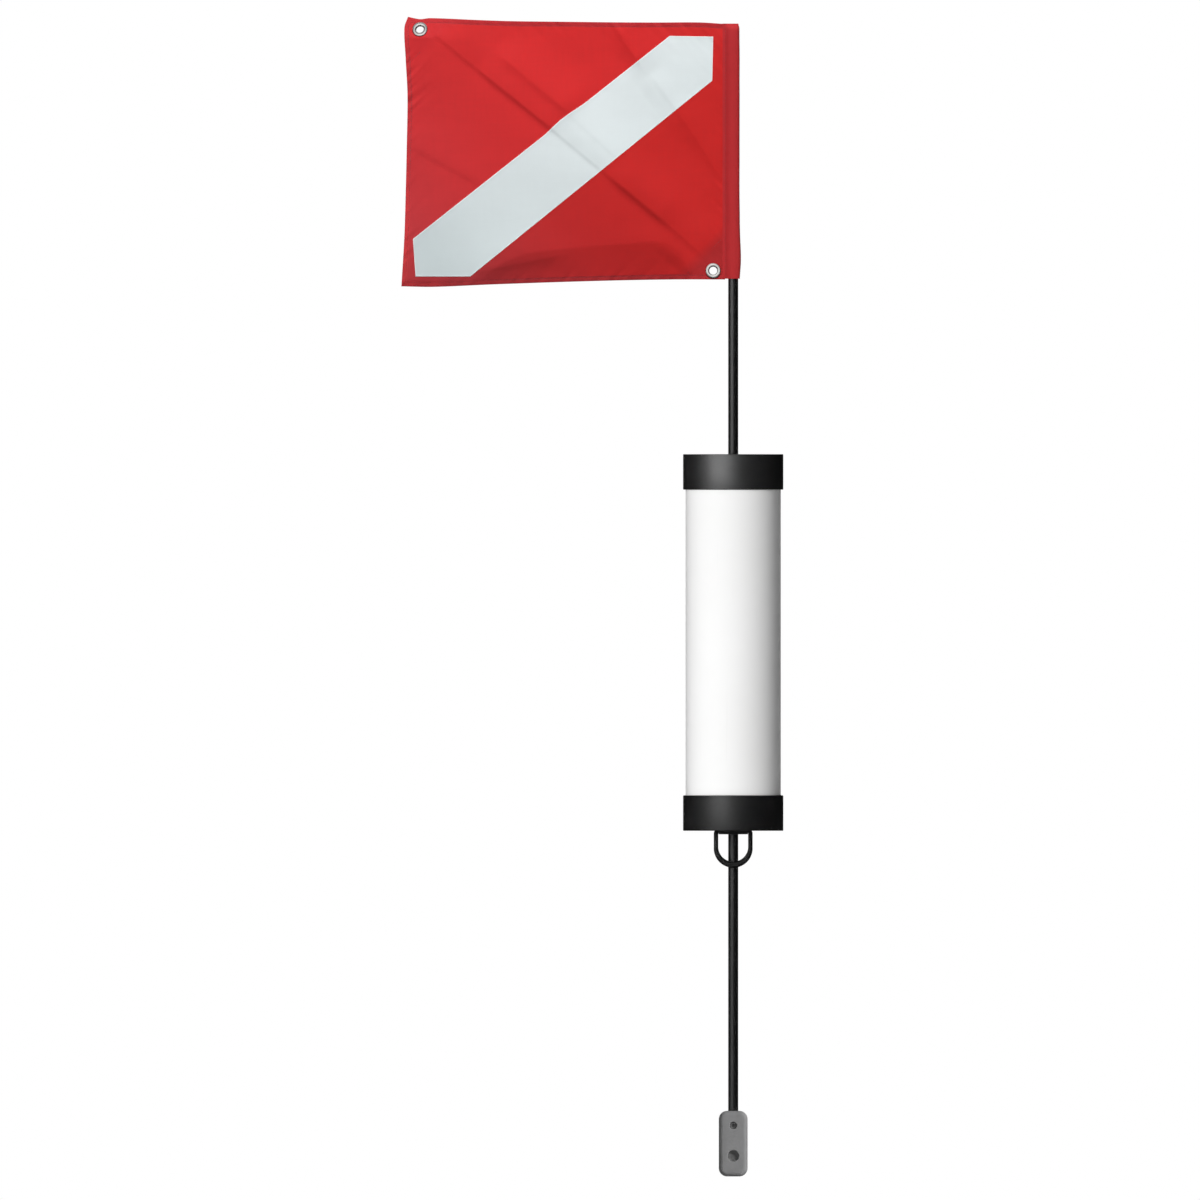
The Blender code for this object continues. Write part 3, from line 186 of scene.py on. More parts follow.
def math_node(tree, operation, first, second=None, third=None):
    """A Math node whose inputs are sockets or numbers; returns its output."""
    node = add_node(tree, "ShaderNodeMath", operation=operation)
    for socket, value in zip(node.inputs, (first, second, third)):
        if isinstance(value, bpy.types.NodeSocket):
            tree.links.new(value, socket)
        elif value is not None:
            socket.default_value = value
    return node.outputs[0]


def spread(tree, value, low, high, out_low=0.0, out_high=1.0):
    """A value's range stretched to another, and held there."""
    node = add_node(tree, "ShaderNodeMapRange", clamp=True)
    tree.links.new(value, node.inputs["Value"])
    for label, number in (("From Min", low), ("From Max", high), ("To Min", out_low), ("To Max", out_high)):
        node.inputs[label].default_value = number
    return node.outputs[0]


def seen_plainly(path):
    """Whether a ray comes straight from the camera, or through something clear."""
    return math_node(path.id_data, 'MAXIMUM', path.outputs["Is Camera Ray"], path.outputs["Is Transmission Ray"])


def make_world():
    """White to the camera, a pale ceiling to reflections, and a low level as light."""
    world = bpy.data.worlds.new("studio")
    bpy.context.scene.world = world
    world.use_nodes = True
    tree = world.node_tree
    background = tree.nodes["Background"]
    path = add_node(tree, "ShaderNodeLightPath", (-600, 0))
    seen = seen_plainly(path)
    way = add_node(tree, "ShaderNodeSeparateXYZ")
    tree.links.new(add_node(tree, "ShaderNodeTexCoord").outputs["Generated"], way.inputs[0])
    ceiling = spread(tree, way.outputs["Z"], CEILING_LOW, CEILING_FULL)
    reflected = math_node(tree, 'MULTIPLY_ADD', ceiling, REFLECTED_CEILING, REFLECTED_LEVEL)
    is_glossy = path.outputs["Is Glossy Ray"]
    unseen = math_node(tree, 'MULTIPLY', math_node(tree, 'SUBTRACT', 1.0, is_glossy), AMBIENT_LEVEL)
    around = math_node(tree, 'MULTIPLY_ADD', is_glossy, reflected, unseen)
    tree.links.new(math_node(tree, 'MAXIMUM', seen, around), background.inputs["Strength"])
    background.inputs["Color"].default_value = (1, 1, 1, 1)
    return world


world = make_world()
print("world:", world.name)

# %% Floor


def add_mesh(name, verts, faces, material=None, smooth=True):
    """A mesh object made from points and faces."""
    mesh = bpy.data.meshes.new(name)
    mesh.from_pydata([tuple(vert) for vert in verts], [], faces)
    mesh.update()
    if material:
        mesh.materials.append(material)
    mesh.polygons.foreach_set("use_smooth", [smooth] * len(mesh.polygons))
    obj = bpy.data.objects.new(name, mesh)
    bpy.context.scene.collection.objects.link(obj)
    return obj


def make_floor():
    """A wide plane under the weight: white to the camera, and it takes a shadow."""
    material = bpy.data.materials.new("pale_floor")
    material.use_nodes = True
    tree = material.node_tree
    tree.nodes.clear()
    output = add_node(tree, "ShaderNodeOutputMaterial", (600, 0))
    diffuse = add_node(tree, "ShaderNodeBsdfDiffuse", (0, 0))
    glow = add_node(tree, "ShaderNodeEmission", (0, -200))
    path = add_node(tree, "ShaderNodeLightPath", (-600, -200))
    seen = seen_plainly(path)
    tree.links.new(spread(tree, path.outputs["Is Glossy Ray"], 0, 1, FLOOR_SHARE_OF_LIGHT, FLOOR_SHARE_REFLECTED),
                   diffuse.inputs["Color"])
    glossy = math_node(tree, 'MULTIPLY', path.outputs["Is Glossy Ray"], FLOOR_REFLECTED_LEVEL)
    level = math_node(tree, 'MULTIPLY', math_node(tree, 'MAXIMUM', seen, glossy), FLOOR_GLOW)
    tree.links.new(level, glow.inputs["Strength"])
    both = add_node(tree, "ShaderNodeAddShader", (300, 0))
    tree.links.new(diffuse.outputs[0], both.inputs[0])
    tree.links.new(glow.outputs[0], both.inputs[1])
    tree.links.new(both.outputs[0], output.inputs["Surface"])
    height = CAD_BOX[0][2] - FLOOR_GAP
    corners = [(-FLOOR_REACH, -FLOOR_REACH, height), (FLOOR_REACH, -FLOOR_REACH, height),
               (FLOOR_REACH, FLOOR_REACH, height), (-FLOOR_REACH, FLOOR_REACH, height)]
    floor = add_mesh("floor", corners, [(0, 1, 2, 3)], material, smooth=False)
    return floor


floor = make_floor()
print("floor at", round(CAD_BOX[0][2], 4), "m")

# %% [markdown]
# ## Effects that several finishes share
#
# A group is a small shader that is built once and used in many materials. Each one here gives out masks, values
# or heights that change over the surface, and the material decides what to do with them. All of them read the
# object's own coordinates, so that nothing has to be unwrapped and nothing slides when the camera moves.

# %% Group helpers


def new_group(name, inputs, outputs):
    """An empty shader group with float inputs, given with their values, and named outputs."""
    group = bpy.data.node_groups.new(name, "ShaderNodeTree")
    for label, value in inputs:
        socket = group.interface.new_socket(name=label, in_out='INPUT', socket_type='NodeSocketFloat')
        socket.default_value = value
    for label in outputs:
        group.interface.new_socket(name=label, in_out='OUTPUT', socket_type='NodeSocketFloat')
    start = add_node(group, "NodeGroupInput", (-900, 0))
    end = add_node(group, "NodeGroupOutput", (900, 0))
    return group, start, end


def own_place(tree):
    """The object's own coordinates, whole and taken apart."""
    place = add_node(tree, "ShaderNodeTexCoord").outputs["Object"]
    parts = add_node(tree, "ShaderNodeSeparateXYZ")
    tree.links.new(place, parts.inputs[0])
    return place, parts.outputs


def noise_value(tree, vector, scale, detail=2.0, roughness=0.5):
    """A noise texture's value at a vector, with the scale as a number or a socket."""
    texture = add_node(tree, "ShaderNodeTexNoise")
    tree.links.new(vector, texture.inputs["Vector"])
    if isinstance(scale, bpy.types.NodeSocket):
        tree.links.new(scale, texture.inputs["Scale"])
    else:
        texture.inputs["Scale"].default_value = scale
    texture.inputs["Detail"].default_value = detail
    texture.inputs["Roughness"].default_value = roughness
    return texture.outputs["Fac"]


def squeezed(tree, vector, factors):
    """A vector times one factor for each axis: a texture runs long where the factor is small."""
    mapping = add_node(tree, "ShaderNodeVectorMath", operation='MULTIPLY')
    tree.links.new(vector, mapping.inputs[0])
    mapping.inputs[1].default_value = factors
    return mapping.outputs[0]


print("helpers for shader groups are ready")

# %% Plain weave
WEAVE_COLOUR_NOISE = 260
WEAVE_SLUB_STRETCH = 9


def make_weave_group():
    """Threads over and under each other in the flag's plane: their height, and how worn and uneven they are."""
    group, start, end = new_group("plain_weave", [("Threads per metre", 1600.0), ("Slub", 0.5)],
                                  ["Height", "Thread shade", "Uneven"])
    place, parts = own_place(group)
    turn = math_node(group, 'MULTIPLY', start.outputs["Threads per metre"], math.pi)
    warp = math_node(group, 'SINE', math_node(group, 'MULTIPLY', parts["X"], turn))
    weft = math_node(group, 'SINE', math_node(group, 'MULTIPLY', parts["Z"], turn))
    crossing = math_node(group, 'MULTIPLY', warp, weft)
    over = math_node(group, 'MULTIPLY_ADD', crossing, 0.5, 0.5)
    fine, coarse = WEAVE_COLOUR_NOISE, WEAVE_COLOUR_NOISE / WEAVE_SLUB_STRETCH
    long_slub = noise_value(group, squeezed(group, place, (fine, fine, coarse)), 1.0)
    cross_slub = noise_value(group, squeezed(group, place, (coarse, 1, fine)), 1.0)
    slub = math_node(group, 'MULTIPLY', math_node(group, 'ADD', long_slub, cross_slub), 0.5)
    uneven = spread(group, slub, 0.36, 0.64)
    height = math_node(group, 'ADD', over, math_node(group, 'MULTIPLY', uneven, start.outputs["Slub"]))
    group.links.new(height, end.inputs["Height"])
    group.links.new(over, end.inputs["Thread shade"])
    group.links.new(uneven, end.inputs["Uneven"])
    return group


weave_group = make_weave_group()
print("group:", weave_group.name)

# %% Moulded grain


def make_grain_group():
    """The fine skin of moulded or cast parts: a pebbled height, and slow patches."""
    group, start, end = new_group("surface_grain", [("Scale", 900.0), ("Patch scale", 30.0)],
                                  ["Height", "Patches", "Specks"])
    place = add_node(group, "ShaderNodeTexCoord").outputs["Object"]
    fine = noise_value(group, place, start.outputs["Scale"], 3.0, 0.6)
    patches = noise_value(group, place, start.outputs["Patch scale"], 3.0, 0.55)
    speck = add_node(group, "ShaderNodeTexVoronoi", feature='F1')
    group.links.new(place, speck.inputs["Vector"])
    group.links.new(math_node(group, 'MULTIPLY', start.outputs["Scale"], 0.5), speck.inputs["Scale"])
    group.links.new(fine, end.inputs["Height"])
    group.links.new(spread(group, patches, 0.32, 0.68), end.inputs["Patches"])
    group.links.new(spread(group, speck.outputs["Distance"], 0.10, 0.02), end.inputs["Specks"])
    return group


grain_group = make_grain_group()
print("group:", grain_group.name)

# %% Long streaks


def make_streak_group():
    """Drawing lines and light scratches that run along Z, as on drawn pipe and pulled rod."""
    group, start, end = new_group("long_streaks", [("Fineness", 700.0), ("Length share", 0.02)],
                                  ["Streaks", "Scratches"])
    _, parts = own_place(group)
    squeeze = add_node(group, "ShaderNodeCombineXYZ")
    group.links.new(parts["X"], squeeze.inputs["X"])
    group.links.new(parts["Y"], squeeze.inputs["Y"])
    group.links.new(math_node(group, 'MULTIPLY', parts["Z"], start.outputs["Length share"]),
                    squeeze.inputs["Z"])
    streaks = noise_value(group, squeeze.outputs[0], start.outputs["Fineness"], 3.0, 0.6)
    scratch = noise_value(group, squeeze.outputs[0], math_node(group, 'MULTIPLY', start.outputs["Fineness"], 2.7),
                          2.0, 0.7)
    group.links.new(spread(group, streaks, 0.34, 0.66), end.inputs["Streaks"])
    group.links.new(spread(group, scratch, 0.66, 0.74), end.inputs["Scratches"])
    return group


streak_group = make_streak_group()
print("group:", streak_group.name)

# %% Worn edges
WEAR_POINTED_LOW = 0.52
WEAR_POINTED_HIGH = 0.60


def make_wear_group():
    """Where edges stand out, broken up by noise: paint rubs thin and metal polishes there."""
    group, start, end = new_group("edge_wear", [("Break-up scale", 240.0), ("Amount", 0.6)],
                                  ["Worn", "Handled"])
    place = add_node(group, "ShaderNodeTexCoord").outputs["Object"]
    pointed = add_node(group, "ShaderNodeNewGeometry").outputs["Pointiness"]
    edge = spread(group, pointed, WEAR_POINTED_LOW, WEAR_POINTED_HIGH)
    breakup = spread(group, noise_value(group, place, start.outputs["Break-up scale"], 4.0, 0.65), 0.35, 0.6)
    worn = math_node(group, 'MULTIPLY', edge, math_node(group, 'MULTIPLY', breakup, start.outputs["Amount"]))
    handled = spread(group, noise_value(group, place, 22.0, 3.0, 0.6), 0.42, 0.72)
    group.links.new(worn, end.inputs["Worn"])
    group.links.new(handled, end.inputs["Handled"])
    return group


wear_group = make_wear_group()
print("group:", wear_group.name)

# %% Painted shade over the flag
FLAG_BOTTOM = 0.4370
FLAG_TOP = 0.7435
PANEL_HOIST_X = -0.0098
FLAG_FLY = 0.3838
PANEL_FLY_X = PANEL_HOIST_X - FLAG_FLY
PATCH_LEG = 0.056
CORNER_SHADE_BLEND = 0.010
BAND_MIDDLE_PX = (568.7, 155.9)
BAND_WAY = (0.784, 0.620)
ACROSS_REACH = 0.045
ALONG_REACH = 0.20


def make_painted_shade_group():
    """Masks for painted shade over the flag: across the band towards the lower hoist, along it, and the doubled
    corners.
    """
    group, _, end = new_group("flag_painted_shade", [], ["Across", "Along", "Corners"])
    _, parts = own_place(group)
    middle_x, middle_z = from_picture(*BAND_MIDDLE_PX)
    right = math_node(group, 'SUBTRACT', parts["X"], middle_x)
    up = math_node(group, 'SUBTRACT', parts["Z"], middle_z)
    along_x, along_z = BAND_WAY
    across = math_node(group, 'MULTIPLY_ADD', right, along_z, math_node(group, 'MULTIPLY', up, -along_x))
    along = math_node(group, 'MULTIPLY_ADD', right, along_x, math_node(group, 'MULTIPLY', up, along_z))
    group.links.new(spread(group, across, -ACROSS_REACH, ACROSS_REACH), end.inputs["Across"])
    group.links.new(spread(group, along, -ALONG_REACH, ALONG_REACH), end.inputs["Along"])
    slant = math_node(group, 'SUBTRACT', parts["X"], parts["Z"])
    upper = math_node(group, 'ADD', slant, FLAG_TOP - PANEL_FLY_X)
    lower = math_node(group, 'SUBTRACT', PANEL_HOIST_X - FLAG_BOTTOM, slant)
    nearer = math_node(group, 'MINIMUM', upper, lower)
    group.links.new(spread(group, nearer, PATCH_LEG + CORNER_SHADE_BLEND, PATCH_LEG - CORNER_SHADE_BLEND), end.inputs["Corners"])
    return group


painted_shade_group = make_painted_shade_group()
print("group:", painted_shade_group.name)

# %% [markdown]
# ## Finishes
#
# Every finish is one Principled shader. What is the same all over a surface, such as its sheen or its coat, is
# set on the shader itself. What changes over the surface, such as colour, roughness and relief, comes from the
# groups. Colours are linear values, read from the photograph where the light falls plainly on the surface; the
# flag's darker shades, the band's bright border and the pale insides of the weight's holes are painted light and
# shade.

# %% Finish helpers


class Finish:
    """A Principled material and short ways to feed it."""

    def __init__(self, name, **sockets):
        self.material = bpy.data.materials.new(name)
        self.material.use_nodes = True
        self.tree = self.material.node_tree
        self.shader = self.tree.nodes["Principled BSDF"]
        for label, value in sockets.items():
            self.shader.inputs[label.replace("_", " ")].default_value = value

    def group(self, group, **values):
        """Place a group, with its own values."""
        node = add_node(self.tree, "ShaderNodeGroup", (-700, 0))
        node.node_tree = group
        for label, value in values.items():
            node.inputs[label.replace("_", " ").replace("Breakup", "Break-up")].default_value = value
        return node

    def mix(self, share, first, second):
        """A colour between two colours or colour sockets."""
        node = add_node(self.tree, "ShaderNodeMix", (-400, 200), data_type='RGBA')
        self.tree.links.new(share, node.inputs["Factor"])
        for socket, value in ((node.inputs[6], first), (node.inputs[7], second)):
            if isinstance(value, bpy.types.NodeSocket):
                self.tree.links.new(value, socket)
            else:
                socket.default_value = (*value, 1)
        return node.outputs[2]

    def scaled(self, value, low, high):
        """A share from 0 to 1 turned into a range."""
        return spread(self.tree, value, 0.0, 1.0, low, high)

    def colour(self, socket):
        """Feed the base colour."""
        self.tree.links.new(socket, self.shader.inputs["Base Color"])

    def roughness(self, socket):
        """Feed the roughness."""
        self.tree.links.new(socket, self.shader.inputs["Roughness"])

    def relief(self, height, distance, strength=1.0):
        """Feed the shader's normal from a height, in metres."""
        bump = add_node(self.tree, "ShaderNodeBump", (-300, -300))
        bump.inputs["Distance"].default_value = distance
        bump.inputs["Strength"].default_value = strength
        self.tree.links.new(height, bump.inputs["Height"])
        self.tree.links.new(bump.outputs["Normal"], self.shader.inputs["Normal"])


def grained(name, scale, patch_scale, colours, roughness, relief, worn=None, colour_by="Patches",
            rough_by="Patches", **sockets):
    """A finish on the shared grain. worn gives the wear's break-up scale, its amount and its colour."""
    finish = Finish(name, **sockets)
    grain = finish.group(grain_group, Scale=scale, Patch_scale=patch_scale)
    masks = {label: grain.outputs[label] for label in ("Height", "Patches", "Specks")}
    colour = finish.mix(masks[colour_by], *colours)
    if worn:
        breakup, amount, worn_colour = worn
        wear = finish.group(wear_group, Breakup_scale=breakup, Amount=amount)
        masks["Handled"] = wear.outputs["Handled"]
        colour = finish.mix(wear.outputs["Worn"], colour, worn_colour)
    finish.colour(colour)
    finish.roughness(finish.scaled(masks[rough_by], *roughness))
    finish.relief(masks["Height"], *relief)
    return finish.material


print("a finish is fed by:", [label for label in vars(Finish) if not label.startswith("_")])


# %% Cloth finishes
THREADS_PER_METRE = 3400
WEAVE_RELIEF = 0.00005
THREAD_SHARE = 0.45
UNEVEN_SHARE = 0.35
PATCH_SHARE = 0.20
ROUGHNESS_SPREAD = 0.06
FLY_SHADE_POWER = 3.0


def cloth_finish(name, hoist, fly, threads, roughness, corners=None):
    """Woven nylon. Each pair of colours is for above and below the band, with painted shade below it, towards the fly
    and at the corners; threads is how dark its gaps are.
    """
    finish = Finish(name, Sheen_Weight=0.02, Sheen_Roughness=0.45, Specular_IOR_Level=0.12)
    weave = finish.group(weave_group, Threads_per_metre=THREADS_PER_METRE, Slub=0.5)
    patches = finish.group(grain_group, Scale=500.0, Patch_scale=16.0)
    fade = finish.group(painted_shade_group)
    # Painted shade: the colour darkens across the band towards the lower hoist, along it towards the fly, and at the
    # doubled corners.
    from_hoist = math_node(finish.tree, 'SUBTRACT', 1.0, fade.outputs["Along"])
    near_fly = math_node(finish.tree, 'POWER', from_hoist, FLY_SHADE_POWER)
    painted_shade_colour = finish.mix(near_fly, finish.mix(fade.outputs["Across"], *hoist), finish.mix(fade.outputs["Across"], *fly))
    if corners:
        painted_shade_colour = finish.mix(fade.outputs["Corners"], painted_shade_colour, finish.mix(fade.outputs["Across"], *corners))
    deep = add_node(finish.tree, "ShaderNodeHueSaturation", (-500, 300))
    deep.inputs["Value"].default_value = threads
    finish.tree.links.new(painted_shade_colour, deep.inputs["Color"])
    shade = math_node(finish.tree, 'MULTIPLY_ADD', weave.outputs["Thread shade"], THREAD_SHARE,
                      math_node(finish.tree, 'MULTIPLY_ADD', weave.outputs["Uneven"], UNEVEN_SHARE,
                                math_node(finish.tree, 'MULTIPLY', patches.outputs["Patches"], PATCH_SHARE)))
    finish.colour(finish.mix(shade, deep.outputs["Color"], painted_shade_colour))
    finish.roughness(finish.scaled(weave.outputs["Uneven"], roughness - ROUGHNESS_SPREAD,
                                   roughness + ROUGHNESS_SPREAD))
    finish.relief(weave.outputs["Height"], WEAVE_RELIEF, 0.30)
    return finish.material


# Painted shade: the second colour of each pair, the fly's pairs and the corners' pair are darker shades of the cloth.
RED_CLOTH = cloth_finish("red_nylon", ((0.715, 0.026, 0.027), (0.60, 0.019, 0.018)),
                         ((0.55, 0.041, 0.048), (0.34, 0.032, 0.038)), 0.88, 0.72,
                         ((0.62, 0.027, 0.031), (0.42, 0.021, 0.023)))
# Painted shade: the doubled hems and pockets are coloured darker, for the light that passes through two layers less
# well.
RED_HEM_PAINTED_SHADE = cloth_finish("red_nylon_doubled_painted_shade", ((0.54, 0.028, 0.034), (0.44, 0.025, 0.029)),
                       ((0.61, 0.043, 0.050), (0.38, 0.033, 0.038)), 0.88, 0.74)
# Painted shade: the sleeve's cloth is coloured darker than the panel's.
SLEEVE_CLOTH_PAINTED_SHADE = cloth_finish("red_nylon_sleeve_painted_shade", ((0.54, 0.033, 0.040), (0.49, 0.027, 0.031)),
                            ((0.50, 0.030, 0.035), (0.49, 0.027, 0.031)), 0.88, 0.74)
WHITE_CLOTH = cloth_finish("white_nylon", ((0.79, 0.85, 0.86), (0.735, 0.80, 0.81)),
                           ((0.58, 0.65, 0.66), (0.58, 0.65, 0.66)), 0.97, 0.68)
# Painted highlight: the band's border strip is coloured brighter than the band.
WHITE_EDGE_PAINTED_HIGHLIGHT = cloth_finish("white_band_edge_painted_highlight", ((0.85, 0.89, 0.90), (0.85, 0.89, 0.90)),
                          ((0.69, 0.75, 0.76), (0.69, 0.75, 0.76)), 0.97, 0.62)


def thread_finish(name, colour, deep):
    """Twisted sewing thread: fine stripes across each stitch."""
    finish = Finish(name, Sheen_Weight=0.2, Roughness=0.6)
    twist = finish.group(grain_group, Scale=2600.0, Patch_scale=260.0)
    finish.colour(finish.mix(twist.outputs["Height"], deep, colour))
    finish.relief(twist.outputs["Height"], 0.00005, 0.4)
    return finish.material


RED_THREAD = thread_finish("dark_red_thread", (0.25, 0.013, 0.021), (0.15, 0.007, 0.012))
print("cloth finishes:", RED_CLOTH.name, WHITE_CLOTH.name, RED_THREAD.name)

# %% Plastic and rubber finishes


def glass_fibre():
    """Pulled glass-fibre rod: near black, glossy, with fine lines along it and rubbed patches."""
    finish = Finish("black_glass_fibre", Specular_IOR_Level=0.5)
    streaks = finish.group(streak_group, Fineness=1400.0, Length_share=0.004)
    wear = finish.group(wear_group, Breakup_scale=160.0, Amount=0.5)
    base = finish.mix(streaks.outputs["Streaks"], (0.0045, 0.0045, 0.0048), (0.0075, 0.0075, 0.0080))
    finish.colour(finish.mix(wear.outputs["Worn"], base, (0.04, 0.04, 0.04)))
    rubbed = math_node(finish.tree, 'MULTIPLY_ADD', streaks.outputs["Scratches"], 0.4,
                       math_node(finish.tree, 'MULTIPLY', wear.outputs["Handled"], 0.6))
    finish.roughness(finish.scaled(rubbed, 0.45, 0.53))
    finish.relief(streaks.outputs["Streaks"], 0.00002, 0.25)
    return finish.material


def white_pipe():
    """White pipe: a satin skin with faint drawing lines and slightly warmer patches."""
    finish = Finish("white_pipe", Specular_IOR_Level=0.35)
    streaks = finish.group(streak_group, Fineness=260.0, Length_share=0.010)
    grain = finish.group(grain_group, Scale=700.0, Patch_scale=9.0)
    wear = finish.group(wear_group, Breakup_scale=120.0, Amount=0.8)
    base = finish.mix(grain.outputs["Patches"], (0.885, 0.885, 0.880), (0.905, 0.905, 0.903))
    lined = finish.mix(finish.scaled(streaks.outputs["Scratches"], 0.0, 0.35), base, (0.80, 0.80, 0.79))
    finish.colour(finish.mix(wear.outputs["Worn"], lined, (0.74, 0.73, 0.70)))
    finish.roughness(finish.scaled(streaks.outputs["Streaks"], 0.36, 0.46))
    finish.relief(streaks.outputs["Streaks"], 0.00004, 0.35)
    return finish.material


def guide_plastic():
    """Grey drawn tube inside the float."""
    finish = Finish("grey_guide")
    streaks = finish.group(streak_group, Fineness=500.0, Length_share=0.02)
    finish.colour(finish.mix(streaks.outputs["Streaks"], (0.33, 0.34, 0.35), (0.38, 0.39, 0.40)))
    finish.roughness(finish.scaled(streaks.outputs["Scratches"], 0.44, 0.62))
    finish.relief(streaks.outputs["Streaks"], 0.00004, 0.4)
    return finish.material


GLASS_FIBRE = glass_fibre()
WHITE_PIPE = white_pipe()
GREY_GUIDE = guide_plastic()
# Moulded plastic: satin, with a fine spark-eroded grain and paler rubbed edges.
BLACK_CAP = grained("black_cap", 1500.0, 26.0, ((0.0048, 0.0048, 0.0052), (0.0085, 0.0085, 0.0090)),
                    (0.46, 0.52), (0.00006, 0.25), worn=(210.0, 0.7, (0.035, 0.035, 0.036)),
                    Specular_IOR_Level=0.5)
# Soft rubber: dull, dusty in patches, with a bloom at its edges.
BLACK_RUBBER = grained("black_rubber", 1100.0, 60.0, ((0.013, 0.013, 0.013), (0.024, 0.024, 0.023)),
                       (0.72, 0.88), (0.00012, 0.5), worn=(300.0, 0.8, (0.070, 0.068, 0.064)),
                       Specular_IOR_Level=0.35)
# Closed-cell foam: small cells all over, a little bluish.
PALE_FOAM = grained("pale_foam", 420.0, 40.0, ((0.70, 0.72, 0.74), (0.48, 0.51, 0.54)), (0.84, 0.95),
                    (0.0006, 0.6), colour_by="Specks", Sheen_Weight=0.1)
print("plastic finishes:", GLASS_FIBRE.name, WHITE_PIPE.name, BLACK_CAP.name)

# %% Metal finishes
# The box inside the weight's front whose hole walls and floors get painted light.
PAINTED_HOLE_LIGHT_WIDTH = 0.0156
PAINTED_HOLE_LIGHT_START = 0.001
PAINTED_HOLE_LIGHT_DEPTH = 0.0175


def grey_casting():
    """Bare casting, tumbled: a pebbled dull grey skin, dark in its pits, brighter on its edges, with painted light
    inside its front holes.
    """
    finish = Finish("grey_casting", Metallic=0.15, Specular_IOR_Level=0.3)
    grain = finish.group(grain_group, Scale=1000.0, Patch_scale=70.0)
    wear = finish.group(wear_group, Breakup_scale=380.0, Amount=0.7)
    base = finish.mix(grain.outputs["Patches"], (0.222, 0.222, 0.224), (0.258, 0.258, 0.260))
    pitted = finish.mix(finish.scaled(grain.outputs["Specks"], 0.0, 0.5), base, (0.11, 0.11, 0.11))
    _, parts = own_place(finish.tree)
    low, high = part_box("counterweight")
    middle, half = (low + high) / 2, (high - low) / 2
    # Painted light: inside the box round the front holes the colour is paler, where the holes would lie in shade.
    painted_hole_light = 1.0
    for axis, centre, reach in ((0, 0.0, PAINTED_HOLE_LIGHT_WIDTH / 2),
                                (1, low.y + PAINTED_HOLE_LIGHT_START + PAINTED_HOLE_LIGHT_DEPTH / 2, PAINTED_HOLE_LIGHT_DEPTH / 2),
                                (2, middle.z, half.z - PAINTED_HOLE_LIGHT_WIDTH / 2)):
        painted_hole_light = math_node(finish.tree, 'MULTIPLY', painted_hole_light,
                            math_node(finish.tree, 'COMPARE', parts[axis], centre, reach))
    skin = finish.mix(wear.outputs["Worn"], pitted, (0.36, 0.36, 0.36))
    finish.colour(finish.mix(painted_hole_light, skin, (0.44, 0.44, 0.44)))
    finish.roughness(finish.scaled(grain.outputs["Patches"], 0.58, 0.72))
    finish.relief(grain.outputs["Height"], 0.00012, 0.35)
    return finish.material


# Nickel plating: bright and slightly warm, duller where it has been handled.
NICKEL = grained("nickel_plate", 1800.0, 190.0, ((0.62, 0.61, 0.59), (0.74, 0.73, 0.71)), (0.26, 0.36),
                 (0.00001, 0.2), worn=(500.0, 0.6, (0.78, 0.76, 0.72)), rough_by="Handled", Metallic=1.0)
# Stainless fastenings: grey, evenly brushed by turning.
STAINLESS = grained("stainless_steel", 2200.0, 240.0, ((0.48, 0.48, 0.49), (0.60, 0.60, 0.61)), (0.22, 0.44),
                    (0.00003, 0.4), rough_by="Height", Metallic=1.0)
# The set screw's end: dull, dark steel that has stood in water.
DULL_STEEL = grained("dull_steel", 1500.0, 300.0, ((0.14, 0.14, 0.14), (0.19, 0.19, 0.19)), (0.50, 0.70),
                     (0.00008, 0.5), rough_by="Height", Metallic=0.5)
# Black powder coating: a fine orange-peel skin, greyer where the line rubs it.
RING_COATING = grained("ring_coating", 1300.0, 120.0, ((0.0050, 0.0050, 0.0055), (0.0085, 0.0085, 0.0090)),
                       (0.60, 0.68), (0.00006, 0.30), worn=(260.0, 0.9, (0.03, 0.03, 0.03)),
                       Specular_IOR_Level=0.35)
CASTING = grey_casting()
print("metal finishes:", NICKEL.name, STAINLESS.name, RING_COATING.name, CASTING.name)

# %% [markdown]
# ## Hard parts made from the frame's own solids
#
# Caps, saddle and set screw have the right form already, but their edges are razor sharp, and light never catches
# such an edge. One way is to model them again. The shorter way is to copy a solid, join its doubled corners, and
# run a narrow bevel round every real edge. The frame's own solid stays as it is and is hidden.

# %% Copies with softened edges
SMOOTH_ANGLE = math.radians(32)
CORNER_ANGLE = math.radians(40)
ROUND_ANGLE = math.radians(50)
CLOTH_ANGLE = math.radians(60)
FLAT_ANGLE = math.radians(0.5)
WELD_DISTANCE = 0.00001
BEVEL_STEPS = 3


def apply_modifiers(obj):
    """Turn an object's modifiers into its mesh."""
    graph = bpy.context.evaluated_depsgraph_get()
    graph.update()
    mesh = bpy.data.meshes.new_from_object(obj.evaluated_get(graph))
    obj.modifiers.clear()
    old = obj.data
    obj.data = mesh
    bpy.data.meshes.remove(old)
    return obj


def smooth_by_angle(obj, angle=SMOOTH_ANGLE):
    """Shade faces smooth, and keep edges sharper than the angle."""
    mesh = obj.data
    mesh.polygons.foreach_set("use_smooth", [True] * len(mesh.polygons))
    mesh.set_sharp_from_angle(angle=angle)
    return obj


